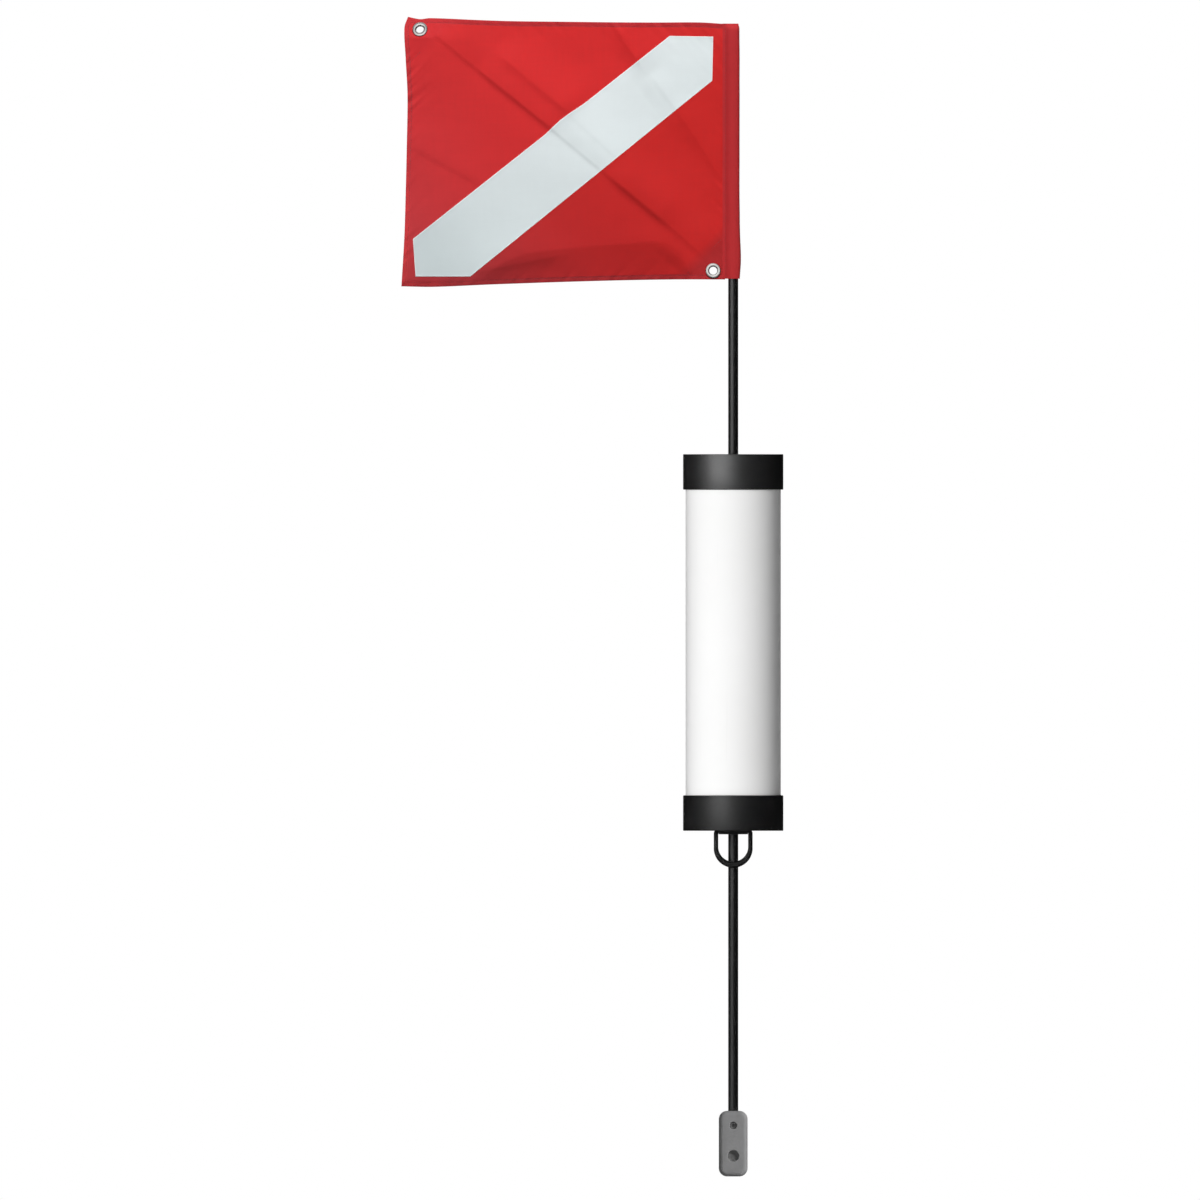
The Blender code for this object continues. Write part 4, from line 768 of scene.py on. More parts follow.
def softened_copy(node, name, width, material, body):
    """A finer piece over a CAD node: its solid with a narrow bevel on every hard edge."""
    mesh = NODES[node].data.copy()
    mesh.name = name
    obj = bpy.data.objects.new(name, mesh)
    bpy.context.scene.collection.objects.link(obj)
    sheet = bmesh.new()
    sheet.from_mesh(mesh)
    bmesh.ops.remove_doubles(sheet, verts=sheet.verts, dist=WELD_DISTANCE)
    bmesh.ops.dissolve_limit(sheet, angle_limit=FLAT_ANGLE, verts=sheet.verts, edges=sheet.edges)
    sheet.to_mesh(mesh)
    sheet.free()
    bevel = obj.modifiers.new("edges", 'BEVEL')
    bevel.width = width
    bevel.segments = BEVEL_STEPS
    bevel.limit_method = 'ANGLE'
    bevel.angle_limit = SMOOTH_ANGLE
    bevel.miter_outer = 'MITER_ARC'
    bevel.harden_normals = False
    apply_modifiers(obj)
    smooth_by_angle(obj, CORNER_ANGLE)
    obj.data.materials.clear()
    obj.data.materials.append(material)
    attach(obj, body)
    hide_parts(node)
    return obj


EDGE_SOFTENING = 0.0004
top_cap_shell = softened_copy("top_cap", "top_cap_shell", EDGE_SOFTENING, BLACK_CAP, "float")
bottom_cap_shell = softened_copy("bottom_cap", "bottom_cap_shell", EDGE_SOFTENING, BLACK_CAP, "float")
saddle_strap = softened_copy("ring_saddle", "saddle_strap", 0.00025, RING_COATING, "float")
for piece in (top_cap_shell, bottom_cap_shell, saddle_strap):
    print(piece.name, len(piece.data.polygons), "faces")

# %% [markdown]
# ## Turned parts
#
# The pole, the pipe and the grommets are round, so each one is a profile spun about an axis. Blender's Screw
# modifier would do it. Spinning the points in code gives the same mesh and keeps the profile's numbers in sight.

# %% Spin a profile


def spun(name, profile, sides, material, closed=False):
    """Spin (radius, height) points about Z. A closed profile makes a ring-shaped solid."""
    verts, faces = [], []
    rings = []
    for radius, height in profile:
        if radius == 0:
            rings.append([len(verts)])
            verts.append((0, 0, height))
            continue
        rings.append(list(range(len(verts), len(verts) + sides)))
        for side in range(sides):
            angle = math.tau * side / sides
            verts.append((radius * math.cos(angle), radius * math.sin(angle), height))
    pairs = list(zip(rings, rings[1:]))
    if closed:
        pairs.append((rings[-1], rings[0]))
    for lower, upper in pairs:
        for side in range(sides):
            after = (side + 1) % sides
            if len(lower) == 1:
                faces.append((lower[0], upper[after], upper[side]))
            elif len(upper) == 1:
                faces.append((lower[side], lower[after], upper[0]))
            else:
                faces.append((lower[side], lower[after], upper[after], upper[side]))
    return smooth_by_angle(add_mesh(name, verts, faces, material))


def rounded(corners, radius, steps=4):
    """A closed profile with each corner turned into a small arc."""
    result = []
    count = len(corners)
    for index in range(count):
        here = Vector(corners[index])
        before, after = Vector(corners[index - 1]) - here, Vector(corners[(index + 1) % count]) - here
        reach = min(radius, before.length * 0.45, after.length * 0.45)
        start, end = here + before.normalized() * reach, here + after.normalized() * reach
        for step in range(steps + 1):
            share = step / steps
            first, second = start.lerp(here, share), here.lerp(end, share)
            result.append(tuple(first.lerp(second, share)))
    return result


def dress(obj, body, slot, *nodes):
    """Let a piece ride on its body and stand for its CAD nodes. slot is not used."""
    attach(obj, body)
    if nodes:
        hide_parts(*nodes)
    return obj


# %% [markdown]
# ## Pole
#
# The pole is pulled glass-fibre tube: dead straight, with fine lines along it. Its ends are cut square and
# rubbed a little round.

# %% Pole
POLE_TURN_SIDES = 64
pole_low, pole_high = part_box("pole")
POLE_RADIUS = pole_high.x
POLE_WALL = 0.002
pole_profile = rounded([(POLE_RADIUS - POLE_WALL, pole_low.z), (POLE_RADIUS, pole_low.z),
                        (POLE_RADIUS, pole_high.z), (POLE_RADIUS - POLE_WALL, pole_high.z)], 0.0005)
pole_shaft = dress(spun("pole_shaft", pole_profile, POLE_TURN_SIDES, GLASS_FIBRE, closed=True),
                   "float", "glass_fibre", "pole")
print("pole:", round(pole_high.z - pole_low.z, 4), "m long")

# %% [markdown]
# ## Pipe
#
# The float's body is a length of white pipe. Its wall shows only where it meets the caps: a hair of shadow, and
# a thin smear of solvent cement that was squeezed out along the lower cap.

# %% Pipe
PIPE_TURN_SIDES = 160
PIPE_WALL = 0.0032
PIPE_STEPS = 12
CEMENT_RADIUS = 0.00045
PIPE_RADIUS = pipe_high.x


def make_pipe():
    """The pipe, with rings of points up its wall."""
    outer = [(PIPE_RADIUS, pipe_low.z + (pipe_high.z - pipe_low.z) * step / PIPE_STEPS)
             for step in range(PIPE_STEPS + 1)]
    inner = [(PIPE_RADIUS - PIPE_WALL, height) for _, height in reversed(outer)]
    pipe = spun("float_pipe", outer + inner, PIPE_TURN_SIDES, WHITE_PIPE, closed=True)
    return dress(pipe, "float", "pipe", "float_tube")


def make_cement_bead(name, height, way):
    """A thin uneven bead of cement where the pipe enters a cap."""
    verts, faces = [], []
    ring_sides = 8
    for side in range(PIPE_TURN_SIDES):
        angle = math.tau * side / PIPE_TURN_SIDES
        around = Vector((math.cos(angle), math.sin(angle), 0))
        lump = 0.75 + 0.5 * noise.noise(around * 9.0)
        radius = CEMENT_RADIUS * lump
        centre = around * (PIPE_RADIUS + radius * 0.3) + Vector((0, 0, height + way * radius * 0.6))
        for step in range(ring_sides):
            turn = math.tau * step / ring_sides
            verts.append(centre + around * (radius * math.cos(turn)) + Vector((0, 0, radius * math.sin(turn))))
    count = len(verts)
    for side in range(PIPE_TURN_SIDES):
        for step in range(ring_sides):
            after = (step + 1) % ring_sides
            base = side * ring_sides
            following = (base + ring_sides) % count
            faces.append((base + step, following + step, following + after, base + after))
    return dress(add_mesh(name, verts, faces, WHITE_PIPE), "float", "pipe")


float_pipe = make_pipe()
_, bottom_cap_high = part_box("bottom_cap")
lower_bead = make_cement_bead("lower_cement_bead", bottom_cap_high.z, 1)
print("pipe:", round(PIPE_RADIUS * 2000, 1), "mm across,", len(float_pipe.data.polygons), "faces")

# %% [markdown]
# ## Tow ring
#
# The ring is a bent rod: a straight bar at the top that the saddle holds, two legs, and a round foot that is
# thicker than the legs, where a line pulls on it. It is a path with a radius at each point, swept with a circle.

# %% Swept tubes


def swept(name, points, radii, sides, material, closed=False):
    """A round tube along points, with a radius at each. An open tube gets domed ends."""
    count = len(points)
    tangents = []
    for index in range(count):
        before = points[index - 1] if closed or index else points[0]
        after = points[(index + 1) % count] if closed or index < count - 1 else points[-1]
        tangents.append((after - before).normalized())
    side_way = tangents[0].orthogonal().normalized()
    verts, faces, rings = [], [], []
    for point, tangent, radius in zip(points, tangents, radii):
        side_way = (side_way - tangent * side_way.dot(tangent)).normalized()
        up_way = tangent.cross(side_way)
        rings.append(range(len(verts), len(verts) + sides))
        for side in range(sides):
            angle = math.tau * side / sides
            verts.append(point + side_way * (radius * math.cos(angle)) + up_way * (radius * math.sin(angle)))
    pairs = list(zip(rings, rings[1:]))
    if closed:
        pairs.append((rings[-1], rings[0]))
    for lower, upper in pairs:
        for side in range(sides):
            after = (side + 1) % sides
            faces.append((lower[side], lower[after], upper[after], upper[side]))
    if not closed:
        faces.append(tuple(reversed(rings[0])))
        faces.append(tuple(rings[-1]))
    obj = add_mesh(name, verts, faces, material)
    return smooth_by_angle(obj, ROUND_ANGLE)


def arc_points(centre_x, centre_z, radius, start, end, steps):
    """Points along an arc, as (x, z)."""
    return [(centre_x + radius * math.cos(start + (end - start) * step / steps),
             centre_z + radius * math.sin(start + (end - start) * step / steps)) for step in range(steps + 1)]


# %% Tow ring
RING_SIDES = 28
RING_ROD = 0.0054
RING_FOOT_ROD = 0.0074
RING_CORNER = 0.0032
RING_CORNER_TURN_STEPS = 8
RING_FOOT_TURN_STEPS = 48
ring_low, ring_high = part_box("tow_ring")


def make_tow_ring():
    """The bent rod: two rounded corners and a round foot that swells."""
    half = ring_high.x - RING_ROD / 2
    bar_height = ring_high.z - RING_ROD / 2
    ring_y = (ring_low.y + ring_high.y) / 2
    foot_height = ring_low.z + RING_FOOT_ROD / 2 + half
    outline = arc_points(-half + RING_CORNER, bar_height - RING_CORNER, RING_CORNER, math.pi, math.pi / 2,
                         RING_CORNER_TURN_STEPS)
    outline += arc_points(half - RING_CORNER, bar_height - RING_CORNER, RING_CORNER, math.pi / 2, 0,
                          RING_CORNER_TURN_STEPS)
    outline += arc_points(0, foot_height, half, 0, -math.pi, RING_FOOT_TURN_STEPS)
    points = [Vector((x, ring_y, z)) for x, z in outline]
    swell = (RING_FOOT_ROD - RING_ROD) / 2
    radii = [RING_ROD / 2 + swell * max(0, foot_height - point.z) / half for point in points]
    return dress(swept("tow_ring_rod", points, radii, RING_SIDES, RING_COATING, closed=True),
                 "tow_ring", "ring_coating", "tow_ring")


tow_ring_rod = make_tow_ring()
print("tow ring:", [round(value * 1000, 1) for value in tow_ring_rod.dimensions], "mm")

# %% [markdown]
# ## Saddle screws
#
# Four pan-head screws hold the saddle to the cap. A turned head with a cross cut into it is enough, since only
# the head shows.

# %% Saddle screws
SCREW_TURN_SIDES = 40
CROSS_WIDTH = 0.0008
CROSS_REACH = 0.0015
CROSS_DEPTH = 0.0008


def box_cutter(name, size, centre):
    """A plain block for cutting with."""
    cutter = bmesh.new()
    bmesh.ops.create_cube(cutter, size=1.0)
    bmesh.ops.scale(cutter, vec=size, verts=cutter.verts)
    bmesh.ops.translate(cutter, vec=centre, verts=cutter.verts)
    mesh = bpy.data.meshes.new(name)
    cutter.to_mesh(mesh)
    cutter.free()
    obj = bpy.data.objects.new(name, mesh)
    bpy.context.scene.collection.objects.link(obj)
    return obj


def cut(obj, *tools, softening=0.0):
    """Cut tools out of a piece, soften its new edges, and drop the tools."""
    for tool in tools:
        modifier = obj.modifiers.new("cut", 'BOOLEAN')
        modifier.operation = 'DIFFERENCE'
        modifier.solver = 'EXACT'
        modifier.object = tool
    if softening:
        bevel = obj.modifiers.new("edges", 'BEVEL')
        bevel.width = softening
        bevel.segments = 3
        bevel.limit_method = 'ANGLE'
        bevel.angle_limit = math.radians(40)
    apply_modifiers(obj)
    for tool in tools:
        mesh = tool.data
        bpy.data.objects.remove(tool)
        bpy.data.meshes.remove(mesh)
    return smooth_by_angle(obj)


def make_saddle_screw(index):
    """A pan head with a cross cut into it, on a short shank."""
    node = f"saddle_screw_{index}"
    low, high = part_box(node)
    centre = (low + high) / 2
    head = (high.x - low.x) / 2
    shank = 0.00145
    head_top = low.z + 0.0014
    profile = [(0, low.z), (head * 0.55, low.z + 0.00006), (head * 0.85, low.z + 0.00030),
               (head, low.z + 0.00085), (head, head_top - 0.0001), (head - 0.0001, head_top), (shank, head_top),
               (shank, high.z - 0.0006), (shank * 0.6, high.z), (0, high.z)]
    screw = spun(f"saddle_screw_head_{index}", profile, SCREW_TURN_SIDES, STAINLESS)
    bmesh_flip(screw)
    tools = [box_cutter("cross", (CROSS_REACH * 2, CROSS_WIDTH, CROSS_DEPTH * 2), (0, 0, low.z)),
             box_cutter("cross", (CROSS_WIDTH, CROSS_REACH * 2, CROSS_DEPTH * 2), (0, 0, low.z))]
    cut(screw, *tools)
    screw.data.transform(Matrix.Translation((centre.x, centre.y, 0)) @ Matrix.Rotation(0.5 * index, 4, 'Z'))
    return dress(screw, "float", "stainless", node)


def bmesh_flip(obj):
    """Turn all faces outwards."""
    solid = bmesh.new()
    solid.from_mesh(obj.data)
    bmesh.ops.recalc_face_normals(solid, faces=solid.faces)
    solid.to_mesh(obj.data)
    solid.free()
    return obj


screws = [make_saddle_screw(index) for index in range(1, 5)]
print("screws:", len(screws))

# %% [markdown]
# ## Counterweight
#
# The weight is cast in a sand mould: a flat block whose outline has round corners and whose rims are rolled over
# widely, so that light slides across them. Two holes are drilled in its face, and the drill leaves a small
# chamfer. The block is a stack of outlines that shrink towards both faces.

# %% Counterweight
WEIGHT_CORNER = 0.010
WEIGHT_RIM = 0.0052
WEIGHT_CORNER_TURN_STEPS = 14
WEIGHT_RIM_TURN_STEPS = 8
WEIGHT_BORE_DEPTH = 0.042
SET_SCREW_DROP = 0.0177
SET_SCREW_HOLE = 0.0084
LINE_HOLE_DROP = 0.0542
LINE_HOLE = 0.0134
LINE_HOLE_DEPTH = 0.016
HOLE_CHAMFER = 0.0007
weight_low, weight_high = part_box("counterweight")


def block_outline(half_x, half_z, corner):
    """A rectangle with round corners, as (x, z) points round the middle."""
    points = []
    for turn, (sign_x, sign_z) in enumerate(((1, 1), (-1, 1), (-1, -1), (1, -1))):
        start = turn * math.pi / 2
        points += arc_points(sign_x * (half_x - corner), sign_z * (half_z - corner), corner, start,
                             start + math.pi / 2, WEIGHT_CORNER_TURN_STEPS)
    return points


def hole_cutter(name, radius, depth, centre, direction, chamfer):
    """A drill with a chamfer at its mouth, which points along a direction from the surface."""
    overrun = 0.002
    profile = [(0, -overrun), (radius + chamfer + overrun, -overrun), (radius, chamfer), (radius, depth),
               (0, depth + radius * 0.3)]
    drill = bmesh_flip(spun(name, profile, 48, None))
    drill.matrix_world = Matrix.Translation(centre) @ direction.to_track_quat('Z', 'Y').to_matrix().to_4x4()
    return drill


def make_weight():
    """The block with rolled rims, two holes in its face and the pole's bore from above."""
    half = (weight_high - weight_low) / 2
    middle = (weight_high + weight_low) / 2
    stack = [(-half.y + WEIGHT_RIM * (1 - math.cos(math.pi / 2 * step / WEIGHT_RIM_TURN_STEPS)),
              WEIGHT_RIM * (1 - math.sin(math.pi / 2 * step / WEIGHT_RIM_TURN_STEPS)))
             for step in range(WEIGHT_RIM_TURN_STEPS + 1)]
    stack += [(-y, inset) for y, inset in reversed(stack)]
    verts, faces = [], []
    for y, inset in stack:
        for x, z in block_outline(half.x - inset, half.z - inset, WEIGHT_CORNER - inset):
            verts.append((middle.x + x, middle.y + y, middle.z + z))
    around = len(verts) // len(stack)
    for level in range(len(stack) - 1):
        for index in range(around):
            after = (index + 1) % around
            base = level * around
            faces.append((base + index, base + after, base + around + after, base + around + index))
    faces.append(tuple(range(around)))
    faces.append(tuple(reversed(range(len(verts) - around, len(verts)))))
    weight = bmesh_flip(add_mesh("cast_weight", verts, faces, CASTING))
    back = Vector((0, 1, 0))
    mouths = [(SET_SCREW_HOLE / 2, -weight_low.y, SET_SCREW_DROP), (LINE_HOLE / 2, LINE_HOLE_DEPTH, LINE_HOLE_DROP)]
    tools = [hole_cutter("drill", radius, depth, Vector((0, weight_low.y, weight_high.z - drop)), back, HOLE_CHAMFER)
             for radius, depth, drop in mouths]
    tools.append(hole_cutter("drill", POLE_RADIUS + 0.0003, WEIGHT_BORE_DEPTH, Vector((0, 0, weight_high.z)),
                             Vector((0, 0, -1)), HOLE_CHAMFER))
    cut(weight, *tools)
    return dress(weight, "float", "casting", "counterweight")


cast_weight = make_weight()
set_screw = softened_copy("weight_set_screw", "socket_set_screw", 0.0002, DULL_STEEL, "float")
print("weight:", [round(value * 1000, 1) for value in cast_weight.dimensions], "mm")

# %% [markdown]
# ## Parts that keep their CAD form
#
# What sits inside the float or the flag's sleeve is seen only when the marker is taken apart. These solids keep
# their form and get their finish by giving the material to the object's slots.

# %% Finishes for the CAD nodes
KEPT = {"pole_tip_cap": BLACK_RUBBER, "pole_foot_plug": BLACK_RUBBER, "foam_core": PALE_FOAM,
        "guide_tube": GREY_GUIDE, "top_bush": BLACK_RUBBER, "bottom_bush": BLACK_RUBBER,
        "upper_thrust_washer": STAINLESS, "lower_thrust_washer": STAINLESS, "upper_roll_pin": STAINLESS,
        "lower_roll_pin": STAINLESS}
for node_name, material in KEPT.items():
    for material_slot in NODES[node_name].material_slots:
        material_slot.material = material
print("kept nodes:", len(KEPT))

# %% [markdown]
# ## How the flag hangs
#
# The flag is thin nylon, held out by a rod from corner to corner on its back. It could be left to a cloth
# simulation, but folds that come from storage don't come out of one. So the cloth is a height over the flag's
# plane, worked out at each place: the broad forms are the CAD solid's own, and pressed creases, puckers along
# the seams and a slow unevenness are added to them. Every layer of the flag reads the same height, so nothing
# floats or cuts through.

# %% The flag's sizes
FLAG_HOIST = FLAG_TOP - FLAG_BOTTOM
SLEEVE_OUTER = 0.0077
THROAT_X = -0.0089
SEAM_END_X = -0.0112
SEAM_WIDTH = 0.0023
HALF_CLOTH = 0.00025
TOP_EDGE = ((0, 0.0265), (0.038, 0.0175), (0.07, 0.0215), (0.22, 0.0140), (0.32, 0.0098), (0.50, 0.0070),
            (0.65, 0.0050), (0.78, 0.0042), (0.92, 0.0045), (1, -0.0015))
BOTTOM_EDGE = ((0, -0.030), (0.1, -0.032), (0.27, -0.023), (0.47, -0.014), (0.66, -0.007), (0.84, -0.003),
               (1, -0.003))
FLY_EDGE = ((0, -0.013), (0.19, -0.0036), (0.33, 0), (0.51, 0.0036), (0.71, 0.006), (0.85, 0),
            (0.96, -0.0036), (1, 0.0075))
UPPER_GROMMET_X = PANEL_FLY_X + 0.0173
UPPER_GROMMET_Z = FLAG_TOP - 0.0071
LOWER_GROMMET_X = PANEL_HOIST_X - 0.0142
LOWER_GROMMET_Z = FLAG_BOTTOM + 0.0096
GROMMET_CENTRES = ((UPPER_GROMMET_X, UPPER_GROMMET_Z), (LOWER_GROMMET_X, LOWER_GROMMET_Z))
GROMMET_FLAT = 0.0098
UPPER_BLOCK_X = UPPER_GROMMET_X + GROMMET_FLAT
UPPER_BLOCK_Z = UPPER_GROMMET_Z - GROMMET_FLAT
LOWER_BLOCK_X = LOWER_GROMMET_X - GROMMET_FLAT
LOWER_BLOCK_Z = LOWER_GROMMET_Z + GROMMET_FLAT
ROD_RADIUS = 0.0015
SPAN = math.hypot(LOWER_GROMMET_X - UPPER_GROMMET_X, LOWER_GROMMET_Z - UPPER_GROMMET_Z)
ALONG_X = (LOWER_GROMMET_X - UPPER_GROMMET_X) / SPAN
ALONG_Z = (LOWER_GROMMET_Z - UPPER_GROMMET_Z) / SPAN
print(f"flag: {FLAG_FLY:.3f} x {FLAG_HOIST:.3f} m, rod {SPAN:.3f} m between grommets")

# %% Broad folds, close to the CAD solid's
RIDGE_FLAT = ROD_RADIUS + 0.0008
CREST_RISE = 0.0010
CREST_RUN = 0.026
CREST_TOP = 0.012
SAG_ABOVE = 0.0030
SAG_ABOVE_RUN = 0.085
SAG_BELOW = 0.0032
SAG_BELOW_RUN = 0.085
CALM_RUN = 0.045
HOIST_RUN = 0.060
HOIST_FOLD_START = (-0.1234, -0.0289)
HOIST_FOLD_END = (-0.0130, -0.1729)
HOIST_FOLD_RISE = 0.0010
HOIST_FOLD_FRONT_RUN = 0.016
HOIST_FOLD_BACK_RUN = 0.030
HOIST_FOLD_FADE = 0.030
ROLL_LINE = ((-0.295, 0.000), (-0.265, 0.022), (-0.228, 0.034), (-0.090, 0.046), (-0.010, 0.053))
ROLL_SLOPE = 0.22
ROLL_SOFTNESS = 0.004
CURL_UP_SLOPE = 0.45
CURL_FLY_SLOPE = 0.17
CURL_FADE = 0.055
CURL_SOFTNESS = 0.024
LEAST_BEND = 0.0001


def smooth_step(value):
    """Rise from 0 to 1 with level ends."""
    held = min(1, max(0, value))
    return held * held * (3 - 2 * held)


def curve_value(table, place):
    """Read a table of (place, value) with a smooth curve through its entries."""
    place = min(table[-1][0], max(table[0][0], place))
    index = 0
    while index < len(table) - 2 and place > table[index + 1][0]:
        index += 1
    start, low = table[index]
    end, high = table[index + 1]
    before = table[index - 1] if index else table[0]
    after = table[index + 2] if index + 2 < len(table) else table[-1]
    run = end - start
    slope_in = (high - before[1]) / (end - before[0]) * run
    slope_out = (after[1] - low) / (after[0] - start) * run
    share = (place - start) / run
    square, cube = share * share, share ** 3
    return ((2 * cube - 3 * square + 1) * low + (cube - 2 * square + share) * slope_in
            + (3 * square - 2 * cube) * high + (cube - square) * slope_out)


def panel_place(across, up):
    """World X and Z of a place on the panel, as shares from the fly edge and from the bottom."""
    fly_edge = PANEL_FLY_X + FLAG_FLY * curve_value(FLY_EDGE, up)
    bottom = FLAG_BOTTOM + FLAG_HOIST * curve_value(BOTTOM_EDGE, across)
    top = FLAG_TOP + FLAG_HOIST * curve_value(TOP_EDGE, across)
    return fly_edge + (PANEL_HOIST_X - fly_edge) * across, bottom + (top - bottom) * up


def from_rod(x, z):
    """Distance from the stiffener rod's line, positive above it."""
    return (x - UPPER_GROMMET_X) * -ALONG_Z + (z - UPPER_GROMMET_Z) * ALONG_X


def ramp(value, softness):
    """Zero below zero, and a straight slope above it, with a soft bend between them."""
    held = max(0, value)
    return held * held / (2 * softness) if held < softness else held - softness / 2


def along_line(x, z, start, end):
    """How far along a line a place lies, how far beside it, and the line's length."""
    run_x, run_z = end[0] - start[0], end[1] - start[1]
    length = math.hypot(run_x, run_z)
    along = ((x - start[0]) * run_x + (z - start[1]) * run_z) / length
    return along, ((z - start[1]) * run_x - (x - start[0]) * run_z) / length, length


FOLD_START = (PANEL_HOIST_X + HOIST_FOLD_START[0], FLAG_TOP + HOIST_FOLD_START[1])
FOLD_END = (PANEL_HOIST_X + HOIST_FOLD_END[0], FLAG_TOP + HOIST_FOLD_END[1])


def hoist_fold(x, z):
    """A ridge that runs down from the top edge to the sleeve, steeper on its fly side."""
    along, beside, length = along_line(x, z, FOLD_START, FOLD_END)
    run = HOIST_FOLD_BACK_RUN if beside > 0 else HOIST_FOLD_FRONT_RUN
    fade = smooth_step((along + HOIST_FOLD_FADE) / HOIST_FOLD_FADE)
    fade *= smooth_step((length + HOIST_FOLD_FADE - along) / HOIST_FOLD_FADE)
    return -HOIST_FOLD_RISE * fade * smooth_step(1 - abs(beside) / run)


def roll_line(x):
    """Height of the fold line above the lower edge."""
    return FLAG_BOTTOM + curve_value(ROLL_LINE, x - PANEL_HOIST_X)


def broad_folds(x, z):
    """How far back the cloth lies, before creases and puckers."""
    distance = from_rod(x, z)
    crest = -CREST_RISE * smooth_step((distance - RIDGE_FLAT) / CREST_RUN)
    crest += (CREST_RISE + SAG_ABOVE) * smooth_step((distance - CREST_TOP) / SAG_ABOVE_RUN)
    sag = SAG_BELOW * smooth_step((-distance - RIDGE_FLAT) / SAG_BELOW_RUN)
    roll = ROLL_SLOPE * ramp(roll_line(x) - z, ROLL_SOFTNESS)
    folds = crest + sag + hoist_fold(x, z) + roll * smooth_step((-distance - RIDGE_FLAT) / CREST_RUN)
    calm = smooth_step(max(x - UPPER_BLOCK_X, UPPER_BLOCK_Z - z) / CALM_RUN)
    calm *= smooth_step(max(LOWER_BLOCK_X - x, z - LOWER_BLOCK_Z) / CALM_RUN)
    calm *= smooth_step((PANEL_HOIST_X - SEAM_WIDTH - x) / HOIST_RUN)
    near = math.hypot(x - UPPER_GROMMET_X, z - UPPER_GROMMET_Z)
    bend = LEAST_BEND + CURL_SOFTNESS * smooth_step((near - GROMMET_FLAT) / CURL_SOFTNESS)
    up = ramp(z - UPPER_BLOCK_Z + bend / 2, bend) * (1 - smooth_step((x - UPPER_BLOCK_X) / CURL_FADE))
    out = ramp(UPPER_BLOCK_X - x + bend / 2, bend) * (1 - smooth_step((UPPER_BLOCK_Z - z) / CURL_FADE))
    return folds * calm + CURL_UP_SLOPE * up + CURL_FLY_SLOPE * out


# %% [markdown]
# ## Creases, puckers and slack
#
# A crease from storage is a lean: over a few millimetres the cloth comes forward ever more steeply, up to a sharp
# edge, and behind the edge it levels out at once. That is why a crease shows one soft side and one crisp side.
# Each one is a row in a table: its two ends as pixels of the photograph, its steepest slope, and how far it
# reaches below and above its line. Sewing draws the cloth together, which leaves small slanting puckers that
# fade away from the seam.

# %% Creases and puckers
CREASES_PX = (((428, 30), (456, 53), 0.36, 0.007, 0.004), ((456, 53), (482, 74), 0.40, 0.008, 0.004),
              ((482, 74), (552, 130), 0.66, 0.010, 0.004), ((552, 130), (612, 180), 0.32, 0.005, 0.003),
              ((612, 180), (664, 223), 0.72, 0.012, 0.005), ((664, 223), (700, 254), 0.30, 0.012, 0.005),
              ((500, 58), (568, 114), 0.40, 0.018, 0.007), ((568, 114), (620, 162), 0.14, 0.010, 0.005),
              ((612, 26), (641, 68), 0.44, 0.018, 0.005), ((655, 82), (676, 112), 0.22, 0.010, 0.005),
              ((676, 112), (717, 174), 0.24, 0.012, 0.006), ((410, 148), (476, 184), 0.22, 0.005, 0.010),
              ((476, 273), (560, 257), 0.24, 0.020, 0.005), ((700, 26), (725, 56), 0.24, 0.005, 0.003),
              ((404, 33), (424, 43), 0.12, 0.004, 0.003))
CREASE_FADE = 0.032
CREASE_RETURN = 0.050
SLACK_DEPTH = 0.0009
SLACK_SIZE = 0.050
RIPPLE_DEPTH = 0.00022
RIPPLE_SIZE = 0.015
PUCKER_DEPTH = 0.0010
FLY_PUCKER_DEPTH = 0.0034
FLY_PUCKER_SPAN = (0.633, 0.724)
PUCKER_PITCH = 0.0085
PUCKER_FADE = 0.012
PUCKER_SLANT = 0.9
HEM_WIDTH = 0.0060
HEM_STITCH = 0.0047
FINE_CALM_START = 0.0095
FINE_CALM_RUN = 0.014
SEAM_CALM_START = 0.0008
SEAM_CALM_RUN = 0.004
FLY_PUCKER_EASE = 0.02
PUCKER_ACROSS = 30
SLACK_SEED = 3.7
RIPPLE_SEED = 8.2
PUCKER_SEEDS = {"fly": 1.3, "top": 5.1, "bottom": 9.4, "hoist": 12.6}
CREASES = [(from_picture(*start), from_picture(*end), slope, below, above)
           for start, end, slope, below, above in CREASES_PX]


def lean(beside, below, above):
    """How far the cloth has come forward, for a steepest slope of one: it steepens to the line, then levels out."""
    rise = below / 3 * max(0, 1 + min(0, beside) / below) ** 3
    return rise + above / 3 * (1 - (1 - min(1, max(0, beside) / above)) ** 3)


def creases(x, z):
    """All the creases together. Beyond each one the cloth drifts back to where it was."""
    total = 0
    for start, end, slope, below, above in CREASES:
        along, beside, length = along_line(x, z, start, end)
        if abs(along - length / 2) < (length + CREASE_FADE) / 2 and -below < beside < above + CREASE_RETURN:
            fade = smooth_step((along + CREASE_FADE / 2) / CREASE_FADE)
            fade *= smooth_step((length + CREASE_FADE / 2 - along) / CREASE_FADE)
            total -= slope * fade * lean(beside, below, above) * (1 - smooth_step((beside - above) / CREASE_RETURN))
    return total


def pucker(along, inward, seed):
    """Small slanting puckers beside a seam, for a depth of one."""
    place = (along - PUCKER_SLANT * inward) / PUCKER_PITCH
    return math.exp(-inward / PUCKER_FADE) * noise.noise((place, inward * PUCKER_ACROSS, seed))


